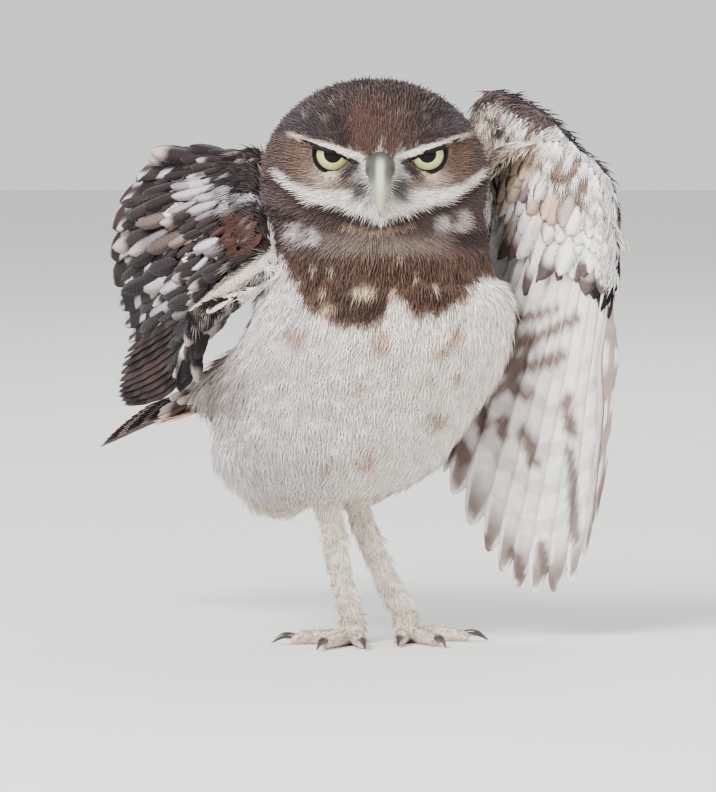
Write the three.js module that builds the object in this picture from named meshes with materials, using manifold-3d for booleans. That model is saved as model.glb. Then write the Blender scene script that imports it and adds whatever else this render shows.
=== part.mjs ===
// A burrowing owl, life size, standing with one wing hung open and the other half lifted.
// Millimetres, +Z up, standing on z = 0. The owl faces -Y, and its own left is at +X.
import * as THREE from "three";
import { mergeVertices } from "three/addons/utils/BufferGeometryUtils.js";
import Module from "manifold-3d";

const wasm = await Module();
wasm.setup();
const at = (x, y, z) => new THREE.Vector3(x, y, z);
const mixed = (a, b, t) => a.clone().lerp(b, t);

// Driving sizes
const seam = 0.3; // kept between neighbouring pieces
const floorLevel = 0;
const headCentre = at(0.8, 4, 148.5);
const headHalf = { side: 37, front: 29.5, back: 31, up: 33.3, down: 24.5 };
const headFullness = { up: 2.05, down: 2.5 }; // 2 is an ellipsoid, more is squarer
const faceMiddle = 2.5; // the face is turned a little to the owl's left
const eyeRadius = 7.8;
const eyeApart = 15; // half the distance between the eyes
const eyeDepth = -15.6;
const eyeHeight = 158.2;
const lidThickness = 1.1;
const billRoot = at(faceMiddle, -20.5, 155);
const billTip = at(faceMiddle, -33.6, 138.6);
const shankRadius = 3.5;
const toeRadius = 2.3;

// Skeleton points that the limbs and feathers hang from
const leftWing = {
  shoulder: at(27, 22, 126),
  elbow: at(38, 34, 173),
  forearm: at(54, 10, 166),
  wrist: at(63, -5, 158),
  knuckle: at(73, -8, 148),
  handTip: at(77, -4, 116),
};
const rightWing = {
  shoulder: at(-23, 22, 126),
  elbow: at(-37, 46, 153),
  forearm: at(-36, 20, 142),
  wrist: at(-33, -8, 123),
  knuckle: at(-44, 4, 115),
  handTip: at(-57, 22, 105),
};
const tailRoot = at(-47, 57, 78);
const tailTip = at(-84, 112, 61);

// Solids

function solidOf(geometry) {
  const bare = geometry.clone();
  bare.deleteAttribute("normal");
  bare.deleteAttribute("uv");
  const merged = mergeVertices(bare, 1e-4);
  const place = merged.attributes.position;
  const faces = new Uint32Array(merged.index.array);
  const [a, b, c] = [at(0, 0, 0), at(0, 0, 0), at(0, 0, 0)];
  let volume = 0;
  for (let i = 0; i < faces.length; i += 3) {
    [a, b, c].forEach((v, k) => v.fromBufferAttribute(place, faces[i + k]));
    volume += a.dot(b.clone().cross(c));
  }
  if (volume < 0)
    for (let i = 0; i < faces.length; i += 3)
      [faces[i + 1], faces[i + 2]] = [faces[i + 2], faces[i + 1]];
  return new wasm.Manifold(
    new wasm.Mesh({ numProp: 3, vertProperties: place.array, triVerts: faces }),
  );
}

function geometryOf(solid) {
  const { numProp, numVert, vertProperties, triVerts } = solid.getMesh();
  const place = new Float32Array(numVert * 3);
  for (let i = 0; i < numVert; i++)
    place.set(vertProperties.subarray(i * numProp, i * numProp + 3), i * 3);
  return new THREE.BufferGeometry()
    .setAttribute("position", new THREE.BufferAttribute(place, 3))
    .setIndex(new THREE.BufferAttribute(triVerts, 1));
}

const joined = (...pieces) => pieces.reduce((a, b) => a.add(b));
const largest = (solid) =>
  solid.decompose().sort((a, b) => b.volume() - a.volume())[0];

// The same solid with its surface moved out, which cuts a neighbour back to leave the seam.
function swollen(solid, by = seam) {
  const geometry = geometryOf(solid);
  geometry.computeVertexNormals();
  const place = geometry.attributes.position;
  const normal = geometry.attributes.normal;
  for (let i = 0; i < place.count; i++)
    place.setXYZ(
      i,
      place.getX(i) + normal.getX(i) * by,
      place.getY(i) + normal.getY(i) * by,
      place.getZ(i) + normal.getZ(i) * by,
    );
  return solidOf(geometry);
}
const cutBy = (solid, ...neighbours) =>
  largest(neighbours.reduce((s, n) => s.subtract(n), solid));

// A closed skin through rings of points, with a fan over each end.
function skin(rings) {
  const sides = rings[0].length;
  const points = rings.flat();
  const faces = [];
  for (let r = 0; r + 1 < rings.length; r++)
    for (let i = 0; i < sides; i++) {
      const [a, b] = [r * sides + i, r * sides + ((i + 1) % sides)];
      faces.push(a, b, b + sides, a, b + sides, a + sides);
    }
  [0, rings.length - 1].forEach((r) => {
    const middle = rings[r].reduce((sum, p) => sum.add(p), at(0, 0, 0));
    points.push(middle.divideScalar(sides));
    for (let i = 0; i < sides; i++) {
      const edge = [r * sides + i, r * sides + ((i + 1) % sides)];
      faces.push(points.length - 1, ...(r ? edge : edge.reverse()));
    }
  });
  const geometry = new THREE.BufferGeometry().setFromPoints(points);
  geometry.setIndex(faces);
  return solidOf(geometry);
}

function oval(centre, across, along, a, b, sides) {
  return Array.from({ length: sides }, (_, i) => {
    const turn = (2 * Math.PI * i) / sides;
    return centre
      .clone()
      .addScaledVector(across, a * Math.cos(turn))
      .addScaledVector(along, b * Math.sin(turn));
  });
}

// A value from a short list, read smoothly at t from 0 to 1.
function along(list, t) {
  const x = Math.min(t, 1) * (list.length - 1);
  const i = Math.min(Math.floor(x), list.length - 2);
  const s = x - i;
  const k = (j) => list[Math.min(Math.max(j, 0), list.length - 1)];
  const [p, q, r, w] = [k(i - 1), k(i), k(i + 1), k(i + 2)];
  const cubic = 3 * (q - r) + w - p;
  return q + 0.5 * s * (r - p + s * (2 * p - 5 * q + 4 * r - w + s * cubic));
}

// A rounded limb along a smooth path; flat under 1 makes its section oval, thin along up.
function limb(path, radii, { sides = 10, rings = 9, flat = 1, up = at(0, 0, 1) } = {}) {
  const curve = new THREE.CatmullRomCurve3(path);
  return skin(
    Array.from({ length: rings }, (_, i) => {
      const t = i / (rings - 1);
      const tangent = curve.getTangent(t);
      const across = up.clone().cross(tangent).normalize();
      const over = tangent.clone().cross(across);
      const r = Math.max(along(radii, t), 0.25);
      return oval(curve.getPoint(t), across, over, r, r * flat, sides);
    }),
  );
}

function ball(centre, radii, segments = 20) {
  const geometry = new THREE.SphereGeometry(1, segments, Math.round(segments * 0.6));
  geometry.rotateX(Math.PI / 2).scale(radii.x, radii.y, radii.z);
  return solidOf(geometry.translate(centre.x, centre.y, centre.z));
}
const round = (centre, radius, segments) =>
  ball(centre, at(radius, radius, radius), segments);

// A thin closed sheet over a grid of points, its two faces split into triangles alike.
function sheet(grid, thickness) {
  const [rows, columns] = [grid.length, grid[0].length];
  const edge = (list, i, step) =>
    list[Math.min(Math.max(i + step, 0), list.length - 1)];
  const faceOf = (side) =>
    grid.flatMap((row, r) =>
      row.map((p, c) => {
        const down = edge(grid, r, 1)[c].clone().sub(edge(grid, r, -1)[c]);
        const over = edge(row, c, 1).clone().sub(edge(row, c, -1));
        const thick = Array.isArray(thickness)
          ? along(thickness, c / (columns - 1))
          : thickness;
        const out = down.cross(over).normalize();
        return p.clone().addScaledVector(out, (side * thick) / 2);
      }),
    );
  const points = [...faceOf(1), ...faceOf(-1)];
  const count = rows * columns;
  const faces = [];
  for (let r = 0; r + 1 < rows; r++)
    for (let c = 0; c + 1 < columns; c++) {
      const a = r * columns + c;
      const [b, d, e] = [a + 1, a + columns, a + columns + 1];
      faces.push(a, d, e, a, e, b);
      faces.push(count + a, count + e, count + d, count + a, count + b, count + e);
    }
  const rim = (a, b) => faces.push(a, b, count + b, a, count + b, count + a);
  for (let r = 0; r + 1 < rows; r++) {
    rim((r + 1) * columns, r * columns);
    rim(r * columns + columns - 1, (r + 2) * columns - 1);
  }
  for (let c = 0; c + 1 < columns; c++) {
    rim(c, c + 1);
    rim((rows - 1) * columns + c + 1, (rows - 1) * columns + c);
  }
  const geometry = new THREE.BufferGeometry().setFromPoints(points);
  geometry.setIndex(faces);
  return solidOf(geometry);
}

// Torso: level oval rings, each [height, middle x, middle y, half width, half depth]
const torsoRings = [
  [43, -16, 24, 14, 15],
  [50, -15.5, 22, 28, 28],
  [58, -13, 20, 36, 37],
  [68, -10, 18, 40, 42],
  [87, -2, 14, 44, 43],
  [103, 3.5, 10, 42.5, 40],
  [113, 4.5, 8, 40, 37],
  [119, 4, 7.5, 34.5, 32],
  [122.5, 3, 7, 24, 22],
];

function makeTorso() {
  const rings = 13;
  const body = skin(
    Array.from({ length: rings }, (_, i) => {
      const [z, x, y, a, b] = torsoRings[0].map((_, k) =>
        along(torsoRings.map((ring) => ring[k]), i / (rings - 1)),
      );
      return oval(at(x, y, z), at(1, 0, 0), at(0, 1, 0), a, b, 24);
    }),
  );
  const rump = limb(
    [at(-14, 30, 90), at(-32, 46, 82), tailRoot, mixed(tailRoot, tailTip, 0.12)],
    [22, 20, 11, 6],
    { sides: 12, rings: 6, flat: 0.8 },
  );
  const vent = ball(at(-29, 34, 54), at(14, 15, 16), 12);
  return joined(body, rump, vent);
}

// Head: a squarish ovoid, pushed in and out by soft swellings on its face
const browInner = at(faceMiddle + 5, 0, 158);
const browOuter = at(faceMiddle + 30, 0, 166.5);
const swell = (distance, size, height) => height * Math.exp(-((distance / size) ** 2));

function headPoint(direction) {
  const half = [
    headHalf.side,
    direction.y < 0 ? headHalf.front : headHalf.back,
    direction.z < 0 ? headHalf.down : headHalf.up,
  ];
  const higher = THREE.MathUtils.smoothstep(direction.z, -0.4, 0.4);
  const full = THREE.MathUtils.lerp(headFullness.down, headFullness.up, higher);
  const reach = direction.toArray().reduce((sum, d, i) => sum + Math.abs(d / half[i]) ** full, 0);
  const p = direction.clone().multiplyScalar(reach ** (-1 / full)).add(headCentre);
  if (direction.y > 0) return p;
  const x = Math.abs(p.x - faceMiddle);
  const eyeGap = Math.hypot(x - eyeApart, p.z - eyeHeight);
  const t = THREE.MathUtils.clamp((x - 5) / 25, 0, 1);
  const browGap = Math.hypot(Math.max(x - 30, 5 - x, 0), p.z - mixed(browInner, browOuter, t).z);
  const billGap = Math.hypot(x, (p.z - 150) * 0.7);
  const moustacheGap = Math.abs(p.z - 137 - x * 0.42);
  const out =
    swell(eyeGap, 8, -2.4) +
    swell(browGap, 3.2, 2.6) +
    swell(billGap, 6.5, 3.2) +
    swell(moustacheGap, 4, 1.2);
  return p.addScaledVector(direction, out * Math.min(1, -direction.y * 1.6));
}

function makeSkull() {
  const geometry = new THREE.SphereGeometry(1, 28, 20);
  const place = geometry.attributes.position;
  const p = at(0, 0, 0);
  for (let i = 0; i < place.count; i++) {
    p.fromBufferAttribute(place, i).normalize();
    const moved = headPoint(p);
    place.setXYZ(i, moved.x, moved.y, moved.z);
  }
  return solidOf(geometry);
}

const eyeAt = (side) => at(faceMiddle + side * eyeApart, eyeDepth, eyeHeight);

// The opening between the lids: round below, cut off above by a straight frowning edge.
function lidOpening(side) {
  const [radius, outerEnd, innerEnd, steps] = [5.8, 24, -162, 12];
  const outline = new THREE.Shape(
    Array.from({ length: steps + 1 }, (_, i) => {
      const turn = THREE.MathUtils.degToRad(outerEnd + ((innerEnd - outerEnd) * i) / steps);
      return new THREE.Vector2(side * radius * Math.cos(turn), radius * Math.sin(turn));
    }),
  );
  const opening = new THREE.ExtrudeGeometry(outline, { depth: 16, bevelEnabled: false });
  opening.rotateX(Math.PI / 2);
  const eye = eyeAt(side);
  return solidOf(opening.translate(eye.x, eye.y, eye.z));
}

// The crease on either side of the bill where the mouth's line runs out under the moustache
function mouthLine(side) {
  const points = [0, 0.5, 1].map((t) => {
    const x = side * (3 + 14 * t);
    const direction = at(x, -27, -12.5 + 5.5 * t).normalize();
    return headPoint(direction);
  });
  return limb(points, [0.7, 0.8, 0.4], { sides: 6, rings: 6 });
}

function makeBill() {
  const bow = at(faceMiddle, -36.8, 149);
  const ridge = [billRoot, at(faceMiddle, -31, 153.5), bow, billTip];
  const upper = limb(ridge, [5, 4.2, 3.2, 0.5], { sides: 12, rings: 9, flat: 0.95, up: at(0, -1, 0.4) });
  const cere = [-1, 1].map((side) =>
    ball(at(faceMiddle + side * 2.8, -29.4, 153.4), at(2, 2.8, 2.4), 9),
  );
  const nostrils = [-1, 1].map((side) =>
    round(at(faceMiddle + side * 3.4, -32, 153.6), 0.8, 6),
  );
  const lower = limb(
    [at(faceMiddle, -20, 146), at(faceMiddle, -27.5, 143), at(faceMiddle, -31, 140)],
    [4, 3.2, 0.8],
    { sides: 10, rings: 6, flat: 0.7, up: at(0, -1, 0.4) },
  );
  const whole = nostrils.reduce((a, b) => a.subtract(b), joined(upper, ...cere));
  return { upper: largest(whole), lower: cutBy(lower, swollen(whole)) };
}

// Legs. Each toe is a tapering limb on the floor, cut level underneath.
const legs = {
  right: { hip: at(-25, 8, 64), heel: at(-15, 6, 47), foot: at(-6, 3, 3), turn: -4 },
  left: { hip: at(0, 15, 62), heel: at(-5, 15, 45), foot: at(11, 12, 3), turn: 6 },
};
const toes = {
  inner: { angle: -12, length: 17 },
  middle: { angle: 18, length: 21 },
  outer: { angle: 72, length: 17 },
  back: { angle: 168, length: 11 },
};
const clawLength = 7;

const aboveFloor = (solid) => {
  const half = 300;
  const ground = new THREE.BoxGeometry(2 * half, 2 * half, half);
  return solid.subtract(solidOf(ground.translate(0, 0, floorLevel - half / 2)));
};

function makeLeg(name, side, torsoSwollen) {
  const { hip, heel, foot, turn } = legs[name];
  const thighWhole = limb([hip, mixed(hip, heel, 0.55), heel], [12, 9.5, 5], { rings: 7, sides: 14 });
  const thigh = cutBy(thighWhole, torso);
  const shank = limb(
    [mixed(heel, hip, 0.12), heel, mixed(heel, foot, 0.5), at(foot.x, foot.y, 5), at(foot.x, foot.y, -1)],
    [3.8, 4, shankRadius, 4, 3.6],
    { rings: 8, sides: 10, up: at(0, 1, 0) },
  );
  const standing = cutBy(aboveFloor(shank), swollen(thighWhole), torso);
  const made = { [`${name}_thigh`]: thigh, [`${name}_shank`]: standing };
  const digits = [];
  Object.entries(toes).forEach(([toe, { angle, length }]) => {
    const heading = THREE.MathUtils.degToRad(side * angle + turn);
    const way = at(Math.sin(heading), -Math.cos(heading), 0);
    const point = (reach, z) => at(foot.x, foot.y, z).addScaledVector(way, reach);
    const root = 3;
    const digit = limb(
      [point(0, 3), point(root + length * 0.35, 2.2), point(root + length * 0.7, 2.2), point(root + length, 1.6)],
      [2.6, toeRadius, toeRadius * 0.9, 1.3],
      { rings: 5, sides: 8 },
    );
    const claw = limb(
      [
        point(root + length - 3, 2.1),
        point(root + length + clawLength * 0.4, 2.9),
        point(root + length + clawLength, 0.7),
      ],
      [1.1, 1.1, 0.25],
      { rings: 4, sides: 5 },
    );
    made[`${name}_toe_${toe}`] = cutBy(aboveFloor(digit), swollen(shank), ...digits);
    made[`${name}_claw_${toe}`] = cutBy(claw, swollen(digit));
    digits.push(swollen(digit));
  });
  return made;
}

// Feathers. A fan of vanes lies on a surface that is read across, from the outermost feather
// in, and down, from root to tip. Each vane tilts over the next one out, so none touch. With
// extra, the vanes are that much larger all round, to cut a neighbour.
const vane = {
  thickness: 0.6,
  narrowest: 3, // half width
  clearance: 1.05, // from the middle of one vane to the middle of the next
  long: { stations: [0, 0.3, 0.7, 0.93, 1], outline: [0.7, 1, 1, 0.72, 0.2] },
  short: { stations: [0, 0.6, 0.9, 1], outline: [0.8, 1, 0.8, 0.25] },
};

function fan(surface, upper, { from, to, count, reach = 1, lift = 0, cover = 0.76, extra = 0 }) {
  const { stations, outline } = reach < 1 ? vane.short : vane.long;
  const step = (to - from) / (count - 1);
  const nudge = 0.01;
  return Array.from({ length: count }, (_, i) => {
    const across = from + i * step;
    const edges = [-1, 1].map((edge) =>
      stations.map((station, k) => {
        const down = station * reach;
        const side = surface(across + nudge, down)
          .sub(surface(across - nudge, down))
          .multiplyScalar(step / (2 * nudge));
        const spacing = side.length();
        const run = surface(across, down + nudge).sub(surface(across, down - nudge));
        const up = run.cross(side).normalize();
        if (up.dot(upper) < 0) up.negate();
        const half = Math.max(cover * spacing, vane.narrowest) * outline[k] + extra;
        const tilt = (-edge * half * vane.clearance) / spacing;
        return surface(across, down)
          .addScaledVector(side, (edge * half) / spacing)
          .addScaledVector(up, tilt + lift);
      }),
    );
    return sheet(edges, vane.thickness + 2 * extra);
  });
}

// A surface between a line of roots and a line of tips, arched towards the feathers' upper side
function between(roots, tips, upper, arch) {
  const [start, end] = [roots, tips].map((line) => new THREE.CatmullRomCurve3(line));
  return (across, down) => {
    const a = THREE.MathUtils.clamp(across, 0, 1);
    return mixed(start.getPoint(a), end.getPoint(a), down).addScaledVector(
      upper,
      Math.sin(Math.PI * down) * arch,
    );
  };
}

// Wings. The tips run from the outermost primary in, and the fifth is the innermost primary.
const wings = {
  left: {
    bones: leftWing,
    tips: [
      at(74, 14, 44), at(64, 17, 18), at(49, 21, 15), at(37, 27, 28), at(24, 38, 50),
      at(22, 42, 60), at(20, 48, 74), at(23, 54, 89), at(28, 58, 104),
    ],
    alulaTips: [at(81, -6, 126), at(79, -11, 133)],
    upper: at(0.5, 0.8, 0.2),
    webEdge: at(37, 8, 166),
    bow: at(0, 0, 0),
    covertReach: 0.34,
    covertLift: -2.7, // on the under side, which is the one that shows
  },
  right: {
    bones: rightWing,
    tips: [
      at(-81, 78, 71), at(-83, 82, 74), at(-83, 85, 78), at(-82, 86, 84), at(-80, 86, 90),
      at(-82, 84, 100), at(-86, 83, 117), at(-84, 85, 136), at(-73, 84, 152),
    ],
    alulaTips: [at(-58, 18, 104), at(-51, 7, 106)],
    upper: at(-0.9, -0.4, 0.3),
    webEdge: at(-33, 18, 138),
    bow: at(10, -4, -6), // the outer primaries hang in a curve
    covertReach: 0.46,
    covertLift: 2.7,
  },
};
const boneRadius = 4.4;

function makeWing(name, body) {
  const { bones, tips, alulaTips, upper, webEdge, bow, covertReach, covertLift } = wings[name];
  const { shoulder, elbow, forearm, wrist, knuckle, handTip } = bones;
  const inward = mixed(shoulder, at(0, 14, 112), 0.5);
  const upperArm = limb([inward, shoulder, elbow], [9, 8, boneRadius], { rings: 6 });
  const lowerArm = limb([elbow, forearm, wrist], [boneRadius, boneRadius, 3.6], { rings: 6 });
  const hand = limb([wrist, knuckle, handTip], [3.6, 3.6, 2.4], { rings: 8, sides: 8 });
  const web = sheet(
    [0, 0.25, 0.5, 0.75, 1].map((t) => {
      const front = new THREE.QuadraticBezierCurve3(shoulder, webEdge, wrist).getPoint(t);
      const back = new THREE.QuadraticBezierCurve3(shoulder, elbow, wrist).getPoint(t);
      return [0, 0.5, 1].map((s) => mixed(front, back, s));
    }),
    2.4,
  );
  const spread = between([handTip, knuckle, wrist, forearm, elbow], tips, upper, 3);
  const surface = (across, down) => {
    const outer = Math.max(0, 1 - 2 * across);
    return spread(across, down).addScaledVector(bow, Math.sin(Math.PI * down) * outer);
  };
  const tiers = ({ from, to, flight, coverts }, extra = 0) => [
    ...fan(surface, upper, { from, to, count: flight, extra }),
    ...fan(surface, upper, { from, to, count: coverts, reach: covertReach, lift: covertLift, extra }),
  ];
  const alula = fan(between([knuckle, wrist], alulaTips, upper, 0), upper, { from: 0, to: 0.8, count: 3 });
  const inner = { from: 0.53, to: 0.97, flight: 8, coverts: 6 };
  const outer = { from: 0.02, to: 0.475, flight: 10, coverts: 7 };
  const arm = joined(upperArm, lowerArm, web, ...tiers(inner));
  const armCutters = [...[upperArm, lowerArm, web].map((piece) => swollen(piece)), ...tiers(inner, seam)];
  const palm = joined(hand, ...alula, ...tiers(outer));
  return {
    [`${name}_wing_arm`]: cutBy(arm, ...body),
    [`${name}_wing_hand`]: cutBy(palm, ...armCutters, ...body),
  };
}

function makeTail(torso) {
  const lateral = at(0.69, 0.66, 0.29).normalize();
  const line = (middle, half, bow) =>
    [-1, -0.5, 0, 0.5, 1].map((side) =>
      mixed(middle, tailRoot, bow * side * side).addScaledVector(lateral, side * half),
    );
  const surface = between(line(tailRoot, 5, 0), line(tailTip, 13, 0.06), at(0, 0, 1), 1);
  const root = limb(
    [mixed(tailRoot, tailTip, -0.1), mixed(tailRoot, tailTip, 0.2)],
    [6.5, 5],
    { rings: 3, sides: 10, flat: 0.55, up: lateral.clone().cross(tailTip.clone().sub(tailRoot)) },
  );
  const vanes = fan(surface, at(0, 0, 1), { from: 0.04, to: 0.96, count: 10, cover: 1.3 });
  return cutBy(joined(root, ...vanes), torso);
}

// Assembly
const owl = new THREE.Group();
function add(name, solid, colour, roughness = 0.9) {
  const material = new THREE.MeshStandardMaterial({ color: colour, roughness, metalness: 0 });
  const mesh = new THREE.Mesh(geometryOf(solid), material);
  mesh.name = name;
  owl.add(mesh);
}

const feather = { brown: 0x6b4a3a, cream: 0xe6dace, bib: 0x7a4f36, pale: 0xeee6da };
const torsoWhole = makeTorso();
const skull = makeSkull();
const bill = makeBill();
const eyes = [-1, 1].map((side) => round(eyeAt(side), eyeRadius, 15));
const lids = [-1, 1].map((side) => round(eyeAt(side), eyeRadius + seam + lidThickness, 15));
const headHollows = [
  ...eyes.map((eye) => swollen(eye)),
  ...[-1, 1].map(lidOpening),
  swollen(bill.upper),
  swollen(bill.lower),
  ...[-1, 1].map(mouthLine),
];
const head = cutBy(joined(skull, ...lids), ...headHollows);
const neckWhole = skin(
  [[116, 37, 32], [123, 36, 31], [130, 35.5, 30], [137, 34, 27]].map(([z, a, b]) =>
    oval(at(2.5, 5, z), at(1, 0, 0), at(0, 1, 0), a, b, 24),
  ),
);
const torso = cutBy(torsoWhole, swollen(skull));
const neck = cutBy(neckWhole, swollen(skull), swollen(torsoWhole));
const torsoSwollen = swollen(torsoWhole);
const body = [torsoSwollen, swollen(skull), ...lids.map((lid) => swollen(lid)), swollen(neckWhole)];

add("torso", torso, feather.cream);
add("neck", neck, feather.brown);
add("head", head, feather.brown);
add("bill_upper", bill.upper, 0xb9bfa8, 0.45);
add("bill_lower", bill.lower, 0xa9ab96, 0.5);
["right", "left"].forEach((name, i) => {
  const side = i ? 1 : -1;
  add(`${name}_eye`, eyes[i], 0xc9cf7a, 0.1);
  Object.entries(makeLeg(name, side, torsoSwollen)).forEach(([key, solid]) =>
    add(key, solid, key.includes("claw") ? 0x2b2522 : feather.pale),
  );
  Object.entries(makeWing(name, body)).forEach(([key, solid]) => add(key, solid, feather.brown));
});
add("tail", makeTail(torsoSwollen), feather.brown);

// The origin is on the floor, under the middle of the whole.
const extent = new THREE.Box3().setFromObject(owl);
const middle = extent.getCenter(at(0, 0, 0));
owl.position.set(-middle.x, -middle.y, -floorLevel);

export default owl;
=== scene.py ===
# A young burrowing owl, life size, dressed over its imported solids. Shapes are worked out in
# the owl's own millimetres and moved to metres in the row's frame as each mesh is made.
import math

import bmesh
import bpy
import numpy as np
from mathutils import Matrix, Vector, noise


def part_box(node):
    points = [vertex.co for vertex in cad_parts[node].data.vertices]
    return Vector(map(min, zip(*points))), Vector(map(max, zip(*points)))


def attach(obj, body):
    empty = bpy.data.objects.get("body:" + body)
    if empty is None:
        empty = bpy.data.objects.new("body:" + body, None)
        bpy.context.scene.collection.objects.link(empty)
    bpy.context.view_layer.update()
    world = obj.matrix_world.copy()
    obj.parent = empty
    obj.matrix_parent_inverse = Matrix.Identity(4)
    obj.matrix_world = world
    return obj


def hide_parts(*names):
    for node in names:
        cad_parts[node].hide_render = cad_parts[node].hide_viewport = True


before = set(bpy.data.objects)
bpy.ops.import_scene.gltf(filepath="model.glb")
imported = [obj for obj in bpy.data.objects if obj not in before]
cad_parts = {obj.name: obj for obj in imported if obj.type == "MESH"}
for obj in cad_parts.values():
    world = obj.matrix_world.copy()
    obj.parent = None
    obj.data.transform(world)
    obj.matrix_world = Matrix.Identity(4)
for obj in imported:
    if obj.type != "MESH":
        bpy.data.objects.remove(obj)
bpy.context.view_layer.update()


# Small helpers.

def v3(x, y, z):  # a point or a direction
    return np.array([x, y, z], dtype=float)


def unit(a):  # each row made one long
    a = np.asarray(a, dtype=float)
    return a / np.maximum(np.linalg.norm(a, axis=-1, keepdims=True), 1e-9)


def smooth(x, low, high):  # 0 below low, 1 above high, eased between
    t = np.clip((np.asarray(x, dtype=float) - low) / (high - low), 0, 1)
    return t * t * (3 - 2 * t)


def swell(distance, size):  # 1 at no distance, fading over the size
    return np.exp(-((distance / size) ** 2))


def srgb(r, g, b):  # a colour as it shows, made linear
    c = np.array([r, g, b]) / 255
    return np.where(c <= 0.04045, c / 12.92, ((c + 0.055) / 1.055) ** 2.4)


def mixed(a, b, t):  # a at t = 0, b at t = 1
    return a + (b - a) * t


def over(colour, other, mask):  # paints other on colour where the mask is 1
    return colour + (np.asarray(other) - colour) * np.clip(mask, 0, 1)[:, None]


def layered(colour, book, layers):  # each layer is a colour's name and its mask
    for name, mask in layers:
        colour = over(colour, book[name], mask)
    return colour


def cloudy(points, size, seed=0):  # soft noise from about -1 to 1
    offset = Vector((seed * 17.3, seed * 9.1, seed * 5.7))
    return np.array([noise.noise(Vector(p) / size + offset) for p in points]) * 1.6


def boxMiddle(node):  # the middle of one solid's box, in metres
    low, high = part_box(node)
    return (np.array(low) + np.array(high)) / 2


# The owl's sizes, the same as in its solids.

owl = {
    "headCentre": v3(0.8, 4, 148.5),
    "headHalf": {"side": 37, "front": 29.5, "back": 31, "up": 33.3, "down": 24.5},
    "headFullness": {"up": 2.05, "down": 2.5},
    "faceMiddle": 2.5,
    "eyeRadius": 7.8,
    "eyeApart": 15,
    "eyeDepth": -15.6,
    "eyeHeight": 158.2,
    "billRoot": v3(2.5, -20.5, 155),
    "billTip": v3(2.5, -33.6, 138.6),
    "tailRoot": v3(-47, 57, 78),
    "tailTip": v3(-84, 112, 61),
    "coatDepth": 1.3,  # how far the skin lies inside the solids
}
eyesMiddle = (boxMiddle("left_eye") + boxMiddle("right_eye")) * 500
shift = eyesMiddle - v3(owl["faceMiddle"], owl["eyeDepth"], owl["eyeHeight"])


def toRow(points):  # the owl's millimetres to the frame's metres
    return (np.asarray(points, dtype=float) + shift) / 1000


def fromRow(points):  # and back
    return np.asarray(points, dtype=float) * 1000 - shift


viewing = {  # the photo's view: how far off and how wide in metres, its aim in millimetres
    "elevation": math.radians(4), "distance": 3.0, "across": 0.2534, "aim": v3(-4.5, 0, 79.7),
}


def seen(points):  # where points stand in the front view, in millimetres
    sinE, cosE = math.sin(viewing["elevation"]), math.cos(viewing["elevation"])
    z = points[:, 2] - viewing["aim"][2]
    depth = 1 + (points[:, 1] * cosE - z * sinE) / (viewing["distance"] * 1000)
    x = (points[:, 0] - viewing["aim"][0]) / depth + viewing["aim"][0]
    return x, viewing["aim"][2] + (z * cosE + points[:, 1] * sinE) / depth


def newObject(name, data):
    made = bpy.data.objects.new(name, data)
    bpy.context.scene.collection.objects.link(made)
    return made


def makePiece(name, points, faces):
    mesh = bpy.data.meshes.new(name)
    mesh.from_pydata(toRow(points).tolist(), [], [tuple(int(i) for i in f) for f in faces])
    mesh.polygons.foreach_set("use_smooth", [True] * len(mesh.polygons))
    return newObject(name, mesh)


def setAttribute(mesh, name, kind, values, domain="POINT"):
    held = mesh.attributes.get(name)
    if held:
        mesh.attributes.remove(held)
    field = {"FLOAT": "value", "FLOAT_COLOR": "color"}.get(kind, "vector")
    values = np.asarray(values, dtype=np.float32)
    if kind == "FLOAT_COLOR":
        values = np.concatenate([values, np.ones((len(values), 1), np.float32)], axis=1)
    mesh.attributes.new(name, kind, domain).data.foreach_set(field, values.ravel())


def setAttributes(mesh, **values):  # tints as colours, other rows as vectors, the rest as numbers
    for name, rows in values.items():
        kind = "FLOAT_COLOR" if name.lower().endswith("tint") else "FLOAT_VECTOR"
        setAttribute(mesh, name, kind if np.ndim(rows) > 1 else "FLOAT", rows)


def movePoints(mesh, points):
    mesh.vertices.foreach_set("co", toRow(points).astype(np.float32).ravel())
    mesh.update()


def pointsOf(mesh):
    flat = np.zeros(len(mesh.vertices) * 3, np.float32)
    mesh.vertices.foreach_get("co", flat)
    return fromRow(flat.reshape(-1, 3))


def normalsOf(mesh):
    flat = np.zeros(len(mesh.vertices) * 3, np.float32)
    mesh.vertices.foreach_get("normal", flat)
    return flat.reshape(-1, 3).astype(float)


# A smooth path through points, read at t from 0 to 1. It follows the same centripetal rule as
# the curves of the solids, so that both bend alike.
def pathAt(points, t):
    points = np.asarray(points, dtype=float)
    t = np.clip(np.atleast_1d(np.asarray(t, dtype=float)), 0, 1)
    x = t * (len(points) - 1)
    i = np.minimum(x.astype(int), len(points) - 2)
    w = (x - i)[:, None]
    p1, p2 = points[i], points[i + 1]
    p0 = np.where((i > 0)[:, None], points[np.maximum(i - 1, 0)], 2 * p1 - p2)
    last = len(points) - 1
    p3 = np.where((i + 2 <= last)[:, None], points[np.minimum(i + 2, last)], 2 * p2 - p1)
    spans = ((p0, p1), (p1, p2), (p2, p3))
    d0, d1, d2 = (np.linalg.norm(b - a, axis=1, keepdims=True) ** 0.5 for a, b in spans)
    d1 = np.maximum(d1, 1e-4)
    d0, d2 = np.where(d0 < 1e-4, d1, d0), np.where(d2 < 1e-4, d1, d2)
    t1 = ((p1 - p0) / d0 - (p2 - p0) / (d0 + d1) + (p2 - p1) / d1) * d1
    t2 = ((p2 - p1) / d1 - (p3 - p1) / (d1 + d2) + (p3 - p2) / d2) * d1
    return p1 + t1 * w + (-3 * p1 + 3 * p2 - 2 * t1 - t2) * w**2 + (2 * p1 - 2 * p2 + t1 + t2) * w**3


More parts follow.
